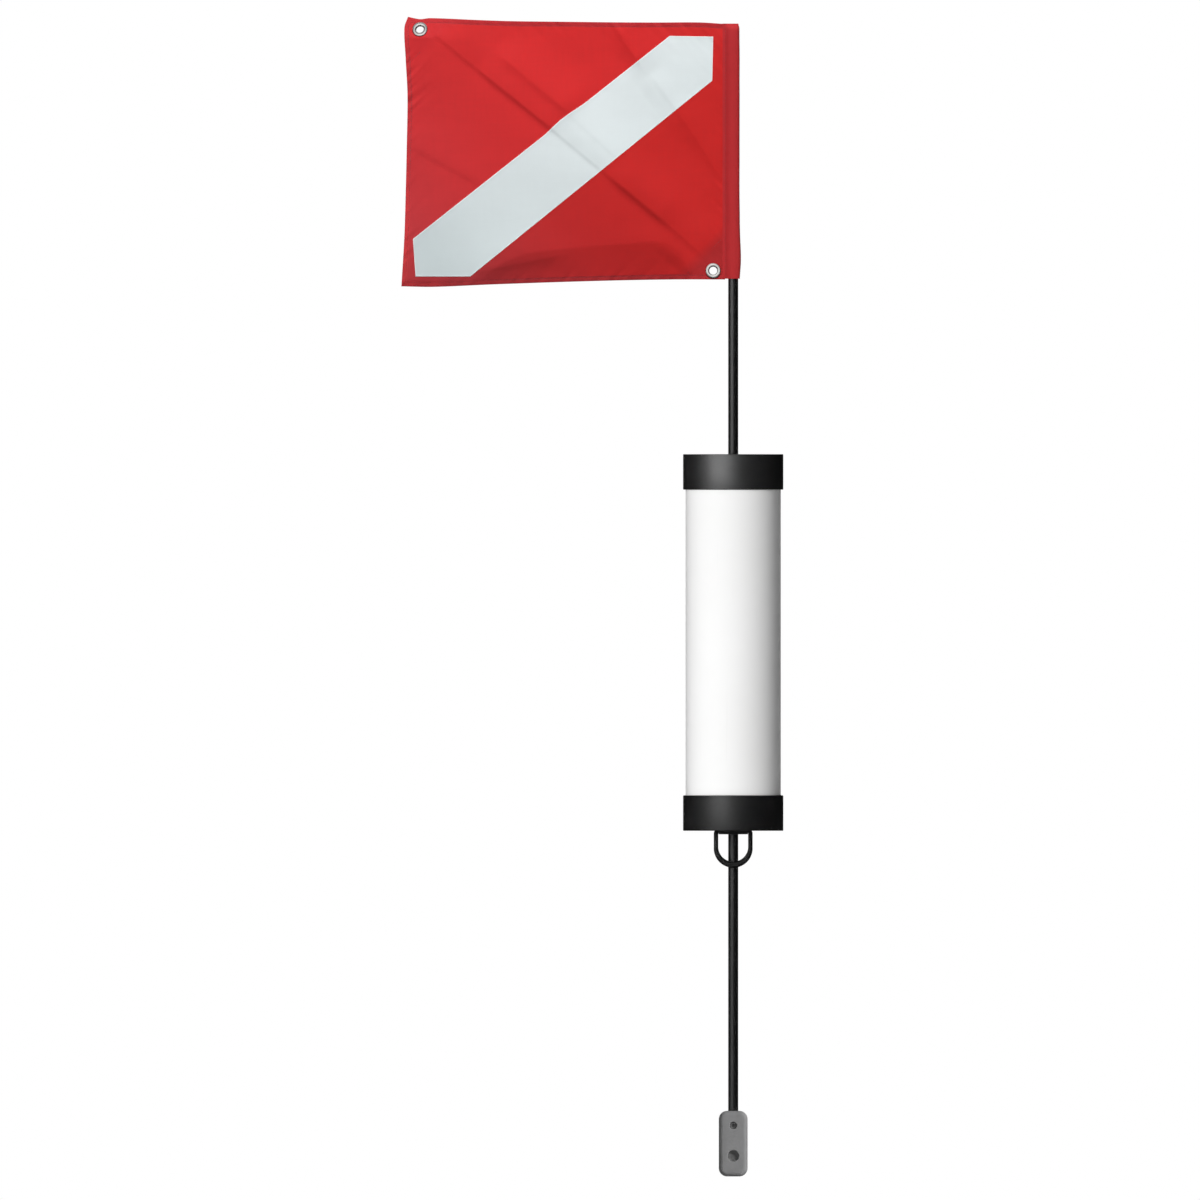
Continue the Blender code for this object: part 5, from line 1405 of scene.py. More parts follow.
def fine_folds(x, z):
    """What the CAD solid leaves out: creases, puckers, ripples and slack, calm at the grommets and the sleeve."""
    left = PANEL_FLY_X + FLAG_FLY * curve_value(FLY_EDGE, (z - FLAG_BOTTOM) / FLAG_HOIST)
    across = (x - left) / (PANEL_HOIST_X - left)
    top = FLAG_TOP + FLAG_HOIST * curve_value(TOP_EDGE, across)
    bottom = FLAG_BOTTOM + FLAG_HOIST * curve_value(BOTTOM_EDGE, across)
    total = SLACK_DEPTH * noise.noise((x / SLACK_SIZE, z / SLACK_SIZE, SLACK_SEED))
    total += RIPPLE_DEPTH * noise.noise((x / RIPPLE_SIZE, z / RIPPLE_SIZE, RIPPLE_SEED))
    low, high = FLY_PUCKER_SPAN
    tight = smooth_step((z - low) / FLY_PUCKER_EASE) * smooth_step((high - z) / FLY_PUCKER_EASE)
    fly_depth = PUCKER_DEPTH + (FLY_PUCKER_DEPTH - PUCKER_DEPTH) * tight
    for depth, along, inward, seam in ((fly_depth, z, x - left, "fly"), (PUCKER_DEPTH, x, top - z, "top"),
                                       (PUCKER_DEPTH, x, z - bottom, "bottom"),
                                       (PUCKER_DEPTH, z, SEAM_END_X - x, "hoist")):
        total += depth * pucker(along, max(0, inward), PUCKER_SEEDS[seam])
    total += creases(x, z)
    near = min(math.hypot(x - centre_x, z - centre_z) for centre_x, centre_z in GROMMET_CENTRES)
    total *= smooth_step((SEAM_END_X + SEAM_CALM_START - x) / SEAM_CALM_RUN)
    return total * smooth_step((near - FINE_CALM_START) / FINE_CALM_RUN)


def cloth_depth(x, z):
    """How far back the cloth lies, with all its folds."""
    return broad_folds(x, z) + fine_folds(x, z)


print("depth at the flag's middle:", round(cloth_depth(-0.2, 0.59) * 1000, 2), "mm")

# %% [markdown]
# ## Red panel
#
# The panel is one closed sheet. Its edges are folded to the back and sewn down, so the cloth is twice as thick
# there; its colour there is darker, a painted shade for the light that passes through two layers less well. Grid
# lines are put exactly where the fold, the stitching and the hem's inner edge are, which keeps those lines crisp with
# few faces.

# %% A closed layer of cloth


def closed_layer(name, places, faces, front, rear, materials, material_of=None):
    """A thin solid over points in the flag's plane. front and rear give the depth of each point's two sides."""
    count = len(places)
    verts = [(x, front(index), z) for index, (x, z) in enumerate(places)]
    verts += [(x, rear(index), z) for index, (x, z) in enumerate(places)]
    edges = {}
    for face in faces:
        for index, here in enumerate(face):
            after = face[(index + 1) % len(face)]
            edges[(here, after)] = edges.get((here, after), 0) + 1
    whole = [tuple(face) for face in faces] + [tuple(index + count for index in reversed(face)) for face in faces]
    rims = [(start, end) for start, end in edges if (end, start) not in edges]
    whole += [(end, start, start + count, end + count) for start, end in rims]
    obj = add_mesh(name, verts, whole)
    for material in materials:
        obj.data.materials.append(material)
    if material_of:
        for index, face in enumerate(faces):
            chosen = material_of(sum(places[corner][0] for corner in face) / len(face),
                                 sum(places[corner][1] for corner in face) / len(face), face)
            obj.data.polygons[index].material_index = chosen
            obj.data.polygons[index + len(faces)].material_index = chosen
    bmesh_flip(obj)
    return smooth_by_angle(obj, CLOTH_ANGLE)


# %% Red panel
PANEL_COLUMNS = 300
PANEL_ROWS = 240
EDGE_ROUND = 0.0005
HEM_LAYER = 0.0006
HEM_LEDGE = 0.0003
STITCH_DIP = 0.00022
STITCH_DIP_WIDTH = 0.0007
EYELET_HOLE = 0.0056
FINE_LINES = (0.00004, 0.00016, 0.00032, EDGE_ROUND, 0.0012, 0.0024, HEM_STITCH - STITCH_DIP_WIDTH, HEM_STITCH,
              HEM_STITCH + STITCH_DIP_WIDTH, HEM_WIDTH - HEM_LEDGE / 2, HEM_WIDTH + HEM_LEDGE / 2, 0.0075)


def shares_with_lines(steps, length, at_start, at_end):
    """Even steps from 0 to 1, with extra lines near one end or both."""
    first = max(FINE_LINES) / length if at_start else 0
    last = 1 - max(FINE_LINES) / length if at_end else 1
    shares = [first + (last - first) * step / steps for step in range(steps + 1)]
    if at_start:
        shares = [0] + [line / length for line in FINE_LINES[:-1]] + shares
    if at_end:
        shares += [1 - line / length for line in reversed(FINE_LINES[:-1])] + [1]
    return shares


def rounded_edge(distance):
    """How full the cloth's thickness is near its folded edge."""
    share = min(1, max(0, distance) / EDGE_ROUND)
    return math.sqrt(1 - (1 - share) ** 2)


def make_panel():
    """The hemmed panel: a grid over the flag's outline, left open at the grommets."""
    columns = shares_with_lines(PANEL_COLUMNS, FLAG_FLY, True, False)
    rows = shares_with_lines(PANEL_ROWS, FLAG_HOIST, True, True)
    places, inward = [], []
    for up in rows:
        for across in columns:
            places.append(panel_place(across, up))
            inward.append(min(across * FLAG_FLY, up * FLAG_HOIST, (1 - up) * FLAG_HOIST))
    wide = len(columns)
    faces = []
    for row in range(len(rows) - 1):
        for column in range(wide - 1):
            corner = row * wide + column
            face = (corner, corner + 1, corner + 1 + wide, corner + wide)
            if all(math.dist(places[index], centre) > EYELET_HOLE for index in face for centre in GROMMET_CENTRES):
                faces.append(face)
    depths = [cloth_depth(x, z) for x, z in places]

    def dip(distance):
        return STITCH_DIP * math.exp(-((distance - HEM_STITCH) / STITCH_DIP_WIDTH) ** 2)

    def front(index):
        distance = inward[index]
        return depths[index] - HALF_CLOTH * rounded_edge(distance) + dip(distance)

    def rear(index):
        distance = inward[index]
        doubled = HEM_LAYER * (1 - smooth_step((distance - HEM_WIDTH + HEM_LEDGE / 2) / HEM_LEDGE))
        return depths[index] + (HALF_CLOTH + doubled) * rounded_edge(distance) - dip(distance)

    # Hem faces take the darker doubled finish, a painted shade.
    panel = closed_layer("flag_panel", places, faces, front, rear, (RED_CLOTH, RED_HEM_PAINTED_SHADE),
                         lambda x, z, face: int(max(inward[index] for index in face) <= HEM_WIDTH + HEM_LEDGE))
    return dress(panel, "flag", "flag_cloth", "flag_field")


flag_panel = make_panel()
print("flag panel:", len(flag_panel.data.polygons), "faces")

# %% [markdown]
# ## Sleeve
#
# The hoist edge runs round the pole and is sewn to itself in one seam. The sleeve's section is a drop: round
# over the pole and drawn together at the seam. Its top is sewn shut, so it narrows there from front to back.
# The section is repeated up the pole, and small puckers lean away from the seam.

# %% Sleeve
SLEEVE_ROWS = 150
SLEEVE_TURN_STEPS = 36
SLEEVE_TAPER = math.radians(36)
SLEEVE_FRONT_TAPER = math.radians(60)
SLEEVE_SEAM_FRONT = 0.0006
SLEEVE_LAP_X = SEAM_END_X - 0.0016
SLEEVE_STITCH_X = -0.0094
SLEEVE_CLOTH_WALL = 0.0005
SEAM_RISE = (0.0, 0.0003, 0.0008, 0.0011, 0.0015)
SEAM_POINTS = ((SLEEVE_LAP_X, HALF_CLOTH + 0.00016, 0.0), (SEAM_END_X, SLEEVE_SEAM_FRONT * 0.85, 0.2),
               (SLEEVE_STITCH_X - 0.0006, SLEEVE_SEAM_FRONT, 0.5),
               (SLEEVE_STITCH_X, SLEEVE_SEAM_FRONT - 0.00022, 0.6),
               (SLEEVE_STITCH_X + 0.0005, SLEEVE_SEAM_FRONT + 0.0002, 1.0))
STITCHED_POINT = 3
LAP_POINTS = 2
SEAM_INNER_SHARE = 0.3
SLEEVE_SQUARENESS = 0.77
SLEEVE_FLATNESS = 0.87
SLEEVE_BULGE = ((0.4370, 0.0004), (0.4595, 0.0017), (0.4900, 0.0006), (0.5400, 0.0), (0.7435, 0.0))
SLEEVE_PUCKER_DEPTH = 0.0005
SLEEVE_PUCKER_PITCH = 0.0052
SLEEVE_PUCKER_FADE = 0.006
SLEEVE_SLACK = 0.00030
SLEEVE_SLACK_SIZE = 0.035
CLOSED_HALF_DEPTH = 0.0011
CLOSING_RUN = 0.0062
CLOSED_NARROWING = 0.16


def sleeve_lift(x, y, height):
    """Puckers beside the seam and a slow slack round the pole."""
    fade = math.exp(-abs(x - THROAT_X) / SLEEVE_PUCKER_FADE)
    puckers = noise.noise((height / SLEEVE_PUCKER_PITCH - 30 * (x - THROAT_X), y * 60, 2.2))
    slack = noise.noise((height / SLEEVE_SLACK_SIZE, math.atan2(y, x) * 0.8, 6.6))
    return SLEEVE_PUCKER_DEPTH * fade * puckers + SLEEVE_SLACK * slack


def seam_point(row, side, height, share=1.0):
    """A place on the sleeve's flat seam, on the flag's front (side -1) or back (side 1)."""
    x, off, weight = SEAM_POINTS[row]
    off += sleeve_lift(x, side * off, height) * weight
    if side < 0:
        off += SEAM_RISE[row]
    if side > 0 and row < LAP_POINTS:
        inward = min(height - FLAG_BOTTOM, FLAG_TOP - height)
        off += HEM_LAYER * (1 - smooth_step((inward - HEM_WIDTH) / HEM_LEDGE))
    return Vector((x, cloth_depth(x, height) + side * off * share, height))


def sleeve_outline(height, wall, share):
    """The sleeve's section at a height, from the front of its seam round the pole to the back of it."""
    closing = smooth_step((height - (FLAG_TOP - CLOSING_RUN)) / CLOSING_RUN)
    flattened = 1 - closing * (1 - CLOSED_HALF_DEPTH / SLEEVE_OUTER)
    outline = [seam_point(row, -1, height, share) for row in range(len(SEAM_POINTS))]
    sweep = math.tau - SLEEVE_FRONT_TAPER - SLEEVE_TAPER
    for step in range(SLEEVE_TURN_STEPS + 1):
        angle = -math.pi + SLEEVE_FRONT_TAPER + sweep * step / SLEEVE_TURN_STEPS
        x = SLEEVE_OUTER * math.copysign(abs(math.cos(angle)) ** SLEEVE_SQUARENESS, math.cos(angle))
        y = SLEEVE_OUTER * math.copysign(abs(math.sin(angle)) ** SLEEVE_SQUARENESS, math.sin(angle))
        grown = 1 + (sleeve_lift(x, y, height) - wall) / SLEEVE_OUTER
        narrowed = 1 - CLOSED_NARROWING * closing if x > 0 else 1
        bulged = curve_value(SLEEVE_BULGE, height) * max(0, x) / SLEEVE_OUTER
        outline.append(Vector((x * grown * narrowed + bulged, y * grown * flattened * SLEEVE_FLATNESS, height)))
    outline += [seam_point(row, 1, height, share) for row in reversed(range(len(SEAM_POINTS)))]
    return outline


def make_sleeve():
    """A closed shell: an outer and an inner skin, joined along both lips and at the ends."""
    heights = [FLAG_BOTTOM + (FLAG_TOP - FLAG_BOTTOM) * step / SLEEVE_ROWS for step in range(SLEEVE_ROWS + 1)]
    heights[0:1] = [FLAG_BOTTOM, FLAG_BOTTOM + 0.0002, FLAG_BOTTOM + 0.0005]
    verts, faces = [], []
    for height in heights:
        verts += sleeve_outline(height, 0, 1) + sleeve_outline(height, SLEEVE_CLOTH_WALL, SEAM_INNER_SHARE)[::-1]
    around = len(verts) // len(heights)
    for level in range(len(heights) - 1):
        for index in range(around):
            after = (index + 1) % around
            base = level * around
            faces.append((base + index, base + after, base + around + after, base + around + index))
    for base in (0, (len(heights) - 1) * around):
        for index in range(around // 2 - 1):
            faces.append((base + index, base + index + 1, base + around - 2 - index, base + around - 1 - index))
    # The sleeve takes its darker finish, a painted shade.
    sleeve = smooth_by_angle(bmesh_flip(add_mesh("flag_sleeve", verts, faces, SLEEVE_CLOTH_PAINTED_SHADE)), CLOTH_ANGLE)
    return dress(sleeve, "flag", "flag_cloth", "flag_field")


flag_sleeve = make_sleeve()
print("sleeve:", len(flag_sleeve.data.polygons), "faces")

# %% [markdown]
# ## White bands
#
# The diagonal band is a second layer of nylon on each face. Its outline is a six-sided figure, cut out of the
# panel's own grid, so that it keeps every fold of the red cloth under it. A narrow strip along its border is
# heat-cut: stiffer and a little raised, and its brighter colour is a painted highlight.

# %% White bands
BAND_CORNERS_PX = ((412.9, 239), (669.6, 35.9), (713.3, 36.6), (712.3, 80.7), (470.2, 276.6), (415.5, 276.6))
BAND_COLUMNS = 300
BAND_ROWS = 240
BAND_EDGE = 0.0011
BAND_EDGE_RISE = 0.00012
BAND_GAP = 0.00008
BAND_THICKNESS = 0.00028
BAND_JOG = 0.0022
BAND_JOG_RUN = 0.032
BAND_JOG_BACK_RUN = 0.038
BAND_JOG_START_PX = (543, 138)
BAND_CORNERS = [from_picture(*corner) for corner in BAND_CORNERS_PX]
MERGE = 0.000001


def flat_grid(columns, rows):
    """The panel's grid, flat in the flag's plane, for cutting shapes out of."""
    sheet = bmesh.new()
    lines = [[sheet.verts.new((x, 0, z)) for x, z in (panel_place(column / columns, row / rows)
                                                      for column in range(columns + 1))] for row in range(rows + 1)]
    for lower, upper in zip(lines, lines[1:]):
        for index in range(columns):
            sheet.faces.new((lower[index], lower[index + 1], upper[index + 1], upper[index]))
    return sheet


def slice_sheet(sheet, start, end, inset=0.0, drop=True):
    """Cut a flat sheet along a line, moved inwards, and drop what lies outside."""
    run = Vector((end[0] - start[0], 0, end[1] - start[1])).normalized()
    outward = Vector((-run.z, 0, run.x))
    at = Vector((start[0], 0, start[1])) - outward * inset
    bmesh.ops.bisect_plane(sheet, geom=sheet.verts[:] + sheet.edges[:] + sheet.faces[:], dist=MERGE, plane_co=at,
                           plane_no=outward, clear_outer=drop)


def inside_distance(x, z, corners):
    """Distance from a place to the nearest side of a convex outline that runs clockwise in the picture."""
    return min(-along_line(x, z, start, end)[1] for start, end in zip(corners, corners[1:] + corners[:1]))


def sheet_parts(sheet):
    """A flat sheet's points and faces as plain lists, and the sheet freed."""
    sheet.verts.index_update()
    places = [(vert.co.x, vert.co.z) for vert in sheet.verts]
    faces = [[vert.index for vert in face.verts] for face in sheet.faces]
    sheet.free()
    return places, faces


def band_jog(x, z):
    """Where the rod's crease takes up cloth, the band's upper border steps outwards and comes back."""
    along, beside, length = along_line(x, z, BAND_CORNERS[0], BAND_CORNERS[1])
    start = along_line(*from_picture(*BAND_JOG_START_PX), BAND_CORNERS[0], BAND_CORNERS[1])[0]
    back = start + BAND_JOG_RUN
    rise = smooth_step((along - start) / BAND_JOG_RUN) * (1 - smooth_step((along - back) / BAND_JOG_BACK_RUN))
    shift = BAND_JOG * rise * smooth_step(1 + beside / 0.05)
    run_x, run_z = BAND_CORNERS[1][0] - BAND_CORNERS[0][0], BAND_CORNERS[1][1] - BAND_CORNERS[0][1]
    return x - run_z / length * shift, z + run_x / length * shift


def make_band(name, way, node):
    """A white band on the flag's front (way -1) or back (way 1)."""
    sheet = flat_grid(BAND_COLUMNS, BAND_ROWS)
    corners = BAND_CORNERS
    for start, end in zip(corners, corners[1:] + corners[:1]):
        slice_sheet(sheet, start, end)
    for inset in (0.0003, BAND_EDGE, BAND_EDGE + 0.0003):
        for start, end in zip(corners, corners[1:] + corners[:1]):
            slice_sheet(sheet, start, end, inset, drop=False)
    places, faces = sheet_parts(sheet)
    inward = [inside_distance(x, z, corners) for x, z in places]
    moved = [band_jog(x, z) for x, z in places]
    depths = [cloth_depth(x, z) for x, z in moved]

    def top(index):
        rim = 1 - smooth_step((inward[index] - BAND_EDGE) / 0.0003)
        full = 0.35 + 0.65 * smooth_step(inward[index] / 0.0003)
        return HALF_CLOTH + BAND_GAP + (BAND_THICKNESS + BAND_EDGE_RISE * rim) * full

    def front(index):
        return depths[index] - (top(index) if way < 0 else -HALF_CLOTH - BAND_GAP)

    def rear(index):
        return depths[index] + (top(index) if way > 0 else -HALF_CLOTH - BAND_GAP)

    # The border strip takes the brighter finish, a painted highlight.
    band = closed_layer(name, moved, faces, front, rear, (WHITE_CLOTH, WHITE_EDGE_PAINTED_HIGHLIGHT),
                        lambda x, z, face: int(max(inward[index] for index in face) < BAND_EDGE + 0.0001))
    return dress(band, "flag", "stripe_cloth", node)


front_band = make_band("front_white_band", -1, "flag_stripe_front")
rear_band = make_band("rear_white_band", 1, "flag_stripe_rear")
print("white bands:", len(front_band.data.polygons), "faces each")

# %% [markdown]
# ## Corner pockets and rod
#
# The rod that holds the flag out sits in two pockets on the back, each one a triangle of doubled nylon sewn over
# a corner. The cloth lies flat but for a tunnel over the rod, which closes before the grommet. The pockets are
# cut out of the flag's grid like the bands, with more grid lines along the tunnel.

# %% Corner pockets
PATCH_GRID = (230, 180)
PATCH_LIFT = 2 * ROD_RADIUS + 0.0004
PATCH_REACH = 0.0141
PATCH_END_RUN = 0.0035
TUNNEL_TOP = 0.0010
TUNNEL_FOOT = 0.0034
TUNNEL_LINES = (-0.0034, -0.0026, -0.0018, -0.0010, 0, 0.0010, 0.0018, 0.0026, 0.0034)
PATCH_CLEAR = 0.0001
PATCH_THICK = 0.00046
PATCH_TURN = 0.0009
POCKETS = (("upper_corner_pocket", "corner_patch_upper", (PANEL_FLY_X, FLAG_TOP), 1,
            (UPPER_GROMMET_X, UPPER_GROMMET_Z)),
           ("lower_corner_pocket", "corner_patch_lower", (PANEL_HOIST_X, FLAG_BOTTOM), -1,
            (LOWER_GROMMET_X, LOWER_GROMMET_Z)))


def tunnel(x, z, way, grommet):
    """How far a pocket's cloth stands off over the rod."""
    reach = way * ((x - grommet[0]) * ALONG_X + (z - grommet[1]) * ALONG_Z)
    open_share = smooth_step((reach - PATCH_REACH + PATCH_END_RUN) / PATCH_END_RUN)
    return PATCH_LIFT * open_share * smooth_step((TUNNEL_FOOT - abs(from_rod(x, z))) / (TUNNEL_FOOT - TUNNEL_TOP))


def slant_line(corner, way, inset=0.0):
    """The pocket's long side as two points, moved towards the corner by an inset."""
    leg = PATCH_LEG - inset * math.sqrt(2)
    return (corner[0], corner[1] - way * leg), (corner[0] + way * leg, corner[1])


def make_pocket(name, node, corner, way, grommet):
    """A pocket cut out of the flag's grid by its long side, with grid lines along its tunnel."""
    sheet = flat_grid(*PATCH_GRID)
    low, high = slant_line(corner, way)
    start, end = high, low
    slice_sheet(sheet, start, end)
    for inset in (0.0003, PATCH_TURN):
        low_in, high_in = slant_line(corner, way, inset)
        slice_sheet(sheet, high_in, low_in, drop=False)
    for offset in TUNNEL_LINES:
        at = (grommet[0] - ALONG_Z * offset, grommet[1] + ALONG_X * offset)
        slice_sheet(sheet, at, (at[0] + ALONG_X, at[1] + ALONG_Z), drop=False)
    places, faces = sheet_parts(sheet)
    faces = [face for face in faces if all(math.dist(places[index], grommet) > EYELET_HOLE for index in face)
             and all(places[index][0] < SEAM_END_X - 0.0004 for index in face)]
    depths = [cloth_depth(x, z) + HALF_CLOTH + PATCH_CLEAR + tunnel(x, z, way, grommet) for x, z in places]
    pocket = closed_layer(name, places, faces, lambda index: depths[index],
                          # The pocket takes the darker doubled finish, a painted shade.
                          lambda index: depths[index] + PATCH_THICK, (RED_HEM_PAINTED_SHADE,))
    return dress(pocket, "flag", "flag_cloth", node)


pockets = [make_pocket(*row) for row in POCKETS]
print("pockets:", [pocket.name for pocket in pockets])

# %% Rod
ROD_Y = 0.00265
ROD_INSET = 0.0142
ROD_SIDES = 24
ROD_END_ROUND = 0.0006


def make_rod():
    """A thin rod from pocket to pocket, with rounded ends."""
    start = Vector((UPPER_GROMMET_X + ALONG_X * ROD_INSET, ROD_Y, UPPER_GROMMET_Z + ALONG_Z * ROD_INSET))
    end = Vector((LOWER_GROMMET_X - ALONG_X * ROD_INSET, ROD_Y, LOWER_GROMMET_Z - ALONG_Z * ROD_INSET))
    way = (end - start).normalized()
    stops = ((0, 0.35), (ROD_END_ROUND * 0.3, 0.75), (ROD_END_ROUND, 1.0))
    points = [start + way * at for at, _ in stops] + [end - way * at for at, _ in reversed(stops)]
    radii = [ROD_RADIUS * share for _, share in stops] + [ROD_RADIUS * share for _, share in reversed(stops)]
    return dress(swept("stiffener_rod", points, radii, ROD_SIDES, GLASS_FIBRE), "flag", "glass_fibre",
                 "flag_stiffener")


stiffener_rod = make_rod()
print("rod:", round(SPAN - 2 * ROD_INSET, 4), "m")

# %% [markdown]
# ## Grommets
#
# A grommet is two pressed parts. The eyelet has a domed flange on the front and a barrel through the cloth. The
# barrel's end is curled over a washer on the back. Both are spun from their sections, and the eyelet's section
# has the rolled lip and the soft bend into the bore, where nickel shows its brightest and darkest lines.

# %% Grommets
GROMMET_TURN_SIDES = 72
EYELET_BORE = 0.0095 / 2
EYELET_RADIUS = 0.0186 / 2
EYELET_WALL = 0.00045
EYELET_SEAT = HALF_CLOTH + 0.0001
EYELET_LIP = 0.0003
EYELET_DOME = 0.0013
EYELET_DOME_STEPS = 20
CURL_WIDTH = 0.0018
CURL_HEIGHT = 0.00075
ROLL_SHAPE = 0.8
GROMMET_PLAY = 0.0001
WASHER_TOP = -(HALF_CLOTH + 0.0001 + 0.0005 + 0.0001)
WASHER_THICKNESS = 0.0006
UPPER_FRONT = Vector((-CURL_FLY_SLOPE, -1, CURL_UP_SLOPE)).normalized()
LOWER_FRONT = Vector((0, -1, 0))


def eyelet_section():
    """A closed section: the dome from bore to lip, then the barrel and its curled end."""
    middle, half = (EYELET_BORE + EYELET_RADIUS) / 2, (EYELET_RADIUS - EYELET_BORE) / 2
    dome = []
    for step in range(EYELET_DOME_STEPS + 1):
        angle = math.pi * (1 - step / EYELET_DOME_STEPS)
        height = EYELET_SEAT + EYELET_LIP + EYELET_DOME * math.sin(angle) ** ROLL_SHAPE
        dome.append((middle + half * math.cos(angle), height))
    barrel = EYELET_BORE + EYELET_WALL
    curl_top = WASHER_TOP - WASHER_THICKNESS - GROMMET_PLAY
    rear = [(EYELET_RADIUS, EYELET_SEAT), (barrel, EYELET_SEAT), (barrel, curl_top)]
    for step in range(9):
        angle = math.pi * step / 8
        rear.append((barrel + CURL_WIDTH / 2 + (CURL_WIDTH / 2) * math.cos(angle) - 0.0
                     if step < 5 else EYELET_BORE + (barrel + CURL_WIDTH - EYELET_BORE) / 2
                     * (1 + math.cos(angle)), curl_top - CURL_HEIGHT * math.sin(angle) ** ROLL_SHAPE if step < 8
                     else curl_top))
    return dome + rear


def washer_section():
    """A washer with rounded rims and a slight dish."""
    inner, outer = EYELET_BORE + EYELET_WALL + GROMMET_PLAY, EYELET_RADIUS
    low, high = WASHER_TOP - WASHER_THICKNESS, WASHER_TOP
    return rounded([(inner, low), (outer, low), (outer, high), (inner, high)], 0.00022)


def make_grommet(name, centre_place, facing):
    """An eyelet and its washer, turned to face as the cloth does."""
    centre = Vector((centre_place[0], broad_folds(*centre_place), centre_place[1]))
    turn = Matrix.Translation(centre) @ facing.to_track_quat('Z', 'Y').to_matrix().to_4x4()
    made = []
    for part, section in (("eyelet", eyelet_section()), ("washer", washer_section())):
        piece = bmesh_flip(spun(f"{name}_{part}", section, GROMMET_TURN_SIDES, NICKEL, closed=True))
        smooth_by_angle(piece, ROUND_ANGLE)
        piece.data.transform(turn)
        made.append(dress(piece, "flag", "nickel", f"grommet_{name.split('_')[0]}_{part}"))
    return made


grommets = make_grommet("upper_corner", GROMMET_CENTRES[0], UPPER_FRONT)
grommets += make_grommet("lower_corner", GROMMET_CENTRES[1], LOWER_FRONT)
print("grommet pieces:", [piece.name for piece in grommets])

# %% [markdown]
# ## Stitching
#
# Lockstitch shows as a row of short raised threads with a small gap between them. Painting it would do from far
# away, but thread that stands up catches the light and throws its own small shadow. Each stitch is a short bent
# tube whose ends dive into the cloth, and a whole row is one mesh.

# %% Stitch rows
STITCH_PITCH = 0.0032
STITCH_LENGTH = 0.0024
THREAD_RADIUS = 0.00023
THREAD_SIDES = 6
THREAD_STOPS = ((0.0, 0.45, -1.2), (0.15, 0.85, -0.1), (0.5, 1.0, 0.35), (0.85, 0.85, -0.1), (1.0, 0.45, -1.2))


def walk(points):
    """Turn a line of (x, z) points into a way to ask for the place at a length along it."""
    lengths = [0.0]
    for before, after in zip(points, points[1:]):
        lengths.append(lengths[-1] + math.dist(before, after))

    def at(distance):
        index = 0
        while index < len(points) - 2 and lengths[index + 1] < distance:
            index += 1
        share = (distance - lengths[index]) / (lengths[index + 1] - lengths[index])
        return tuple(start + (end - start) * share for start, end in zip(points[index], points[index + 1]))

    return at, lengths[-1]


def stitch_row(name, points, surface, way, material=None, pitch=STITCH_PITCH, skip=None):
    """A row of raised stitches. surface gives the cloth's depth, and way is -1 for its front or 1 for its back."""
    at, total = walk(points)
    verts, faces = [], []
    for count in range(int(total / pitch)):
        begin = (count + 0.5) * pitch - STITCH_LENGTH / 2
        if skip and skip(*at(begin + STITCH_LENGTH / 2)):
            continue
        (x0, z0), (x1, z1) = at(begin), at(begin + STITCH_LENGTH)
        side = Vector((z1 - z0, 0, x0 - x1)).normalized()
        first = len(verts)
        for share, thick, lift in THREAD_STOPS:
            x, z = x0 + (x1 - x0) * share, z0 + (z1 - z0) * share
            centre = Vector((x, surface(x, z) + way * THREAD_RADIUS * lift, z))
            for step in range(THREAD_SIDES):
                turn = math.tau * step / THREAD_SIDES
                verts.append(centre + side * (THREAD_RADIUS * thick * math.cos(turn))
                             + Vector((0, THREAD_RADIUS * thick * math.sin(turn), 0)))
        for level in range(len(THREAD_STOPS) - 1):
            for step in range(THREAD_SIDES):
                after = (step + 1) % THREAD_SIDES
                base = first + level * THREAD_SIDES
                faces.append((base + step, base + after, base + THREAD_SIDES + after, base + THREAD_SIDES + step))
        last = len(verts) - THREAD_SIDES
        faces.append(tuple(range(first, first + THREAD_SIDES)))
        faces.append(tuple(range(last, last + THREAD_SIDES)))
    row = bmesh_flip(add_mesh(name, verts, faces, material or RED_THREAD))
    return dress(row, "flag", "flag_cloth")


def near_grommet(x, z, reach=EYELET_RADIUS + 0.0008):
    return any(math.dist((x, z), centre) < reach for centre in GROMMET_CENTRES)


def hem_front(x, z):
    """The cloth's front along a stitch line."""
    return cloth_depth(x, z) - HALF_CLOTH + STITCH_DIP


def hem_back(x, z):
    """The doubled cloth's back along a stitch line."""
    return cloth_depth(x, z) + HALF_CLOTH + HEM_LAYER - STITCH_DIP


def hem_line(edge):
    """The stitch line along one edge of the panel."""
    steps = 90
    top, side = HEM_STITCH / FLAG_HOIST, HEM_STITCH / FLAG_FLY
    if edge == "top":
        return [panel_place(side + (0.985 - side) * step / steps, 1 - top) for step in range(steps + 1)]
    if edge == "bottom":
        return [panel_place(side + (0.985 - side) * step / steps, top) for step in range(steps + 1)]
    return [panel_place(side, top + (1 - 2 * top) * step / steps) for step in range(steps + 1)]


stitches = []
for edge in ("top", "bottom", "fly"):
    for face_name, surface, way in (("front", hem_front, -1), ("back", hem_back, 1)):
        stitches.append(stitch_row(f"{edge}_hem_stitches_{face_name}", hem_line(edge), surface, way,
                                   skip=near_grommet))
print("hem stitch rows:", len(stitches))

# %% Stitches of the sleeve and the pockets
SLEEVE_STITCH_PITCH = 0.0040
POCKET_STITCH_INSET = 0.0030
POCKET_STITCH_REACH = 0.020


def sleeve_line():
    return [(SLEEVE_STITCH_X, FLAG_BOTTOM + 0.003), (SLEEVE_STITCH_X, FLAG_TOP - 0.002)]


def near_tunnel(x, z):
    """The pockets are sewn down beside the hems, and left open towards the rod."""
    return abs(from_rod(x, z)) < POCKET_STITCH_REACH or near_grommet(x, z)


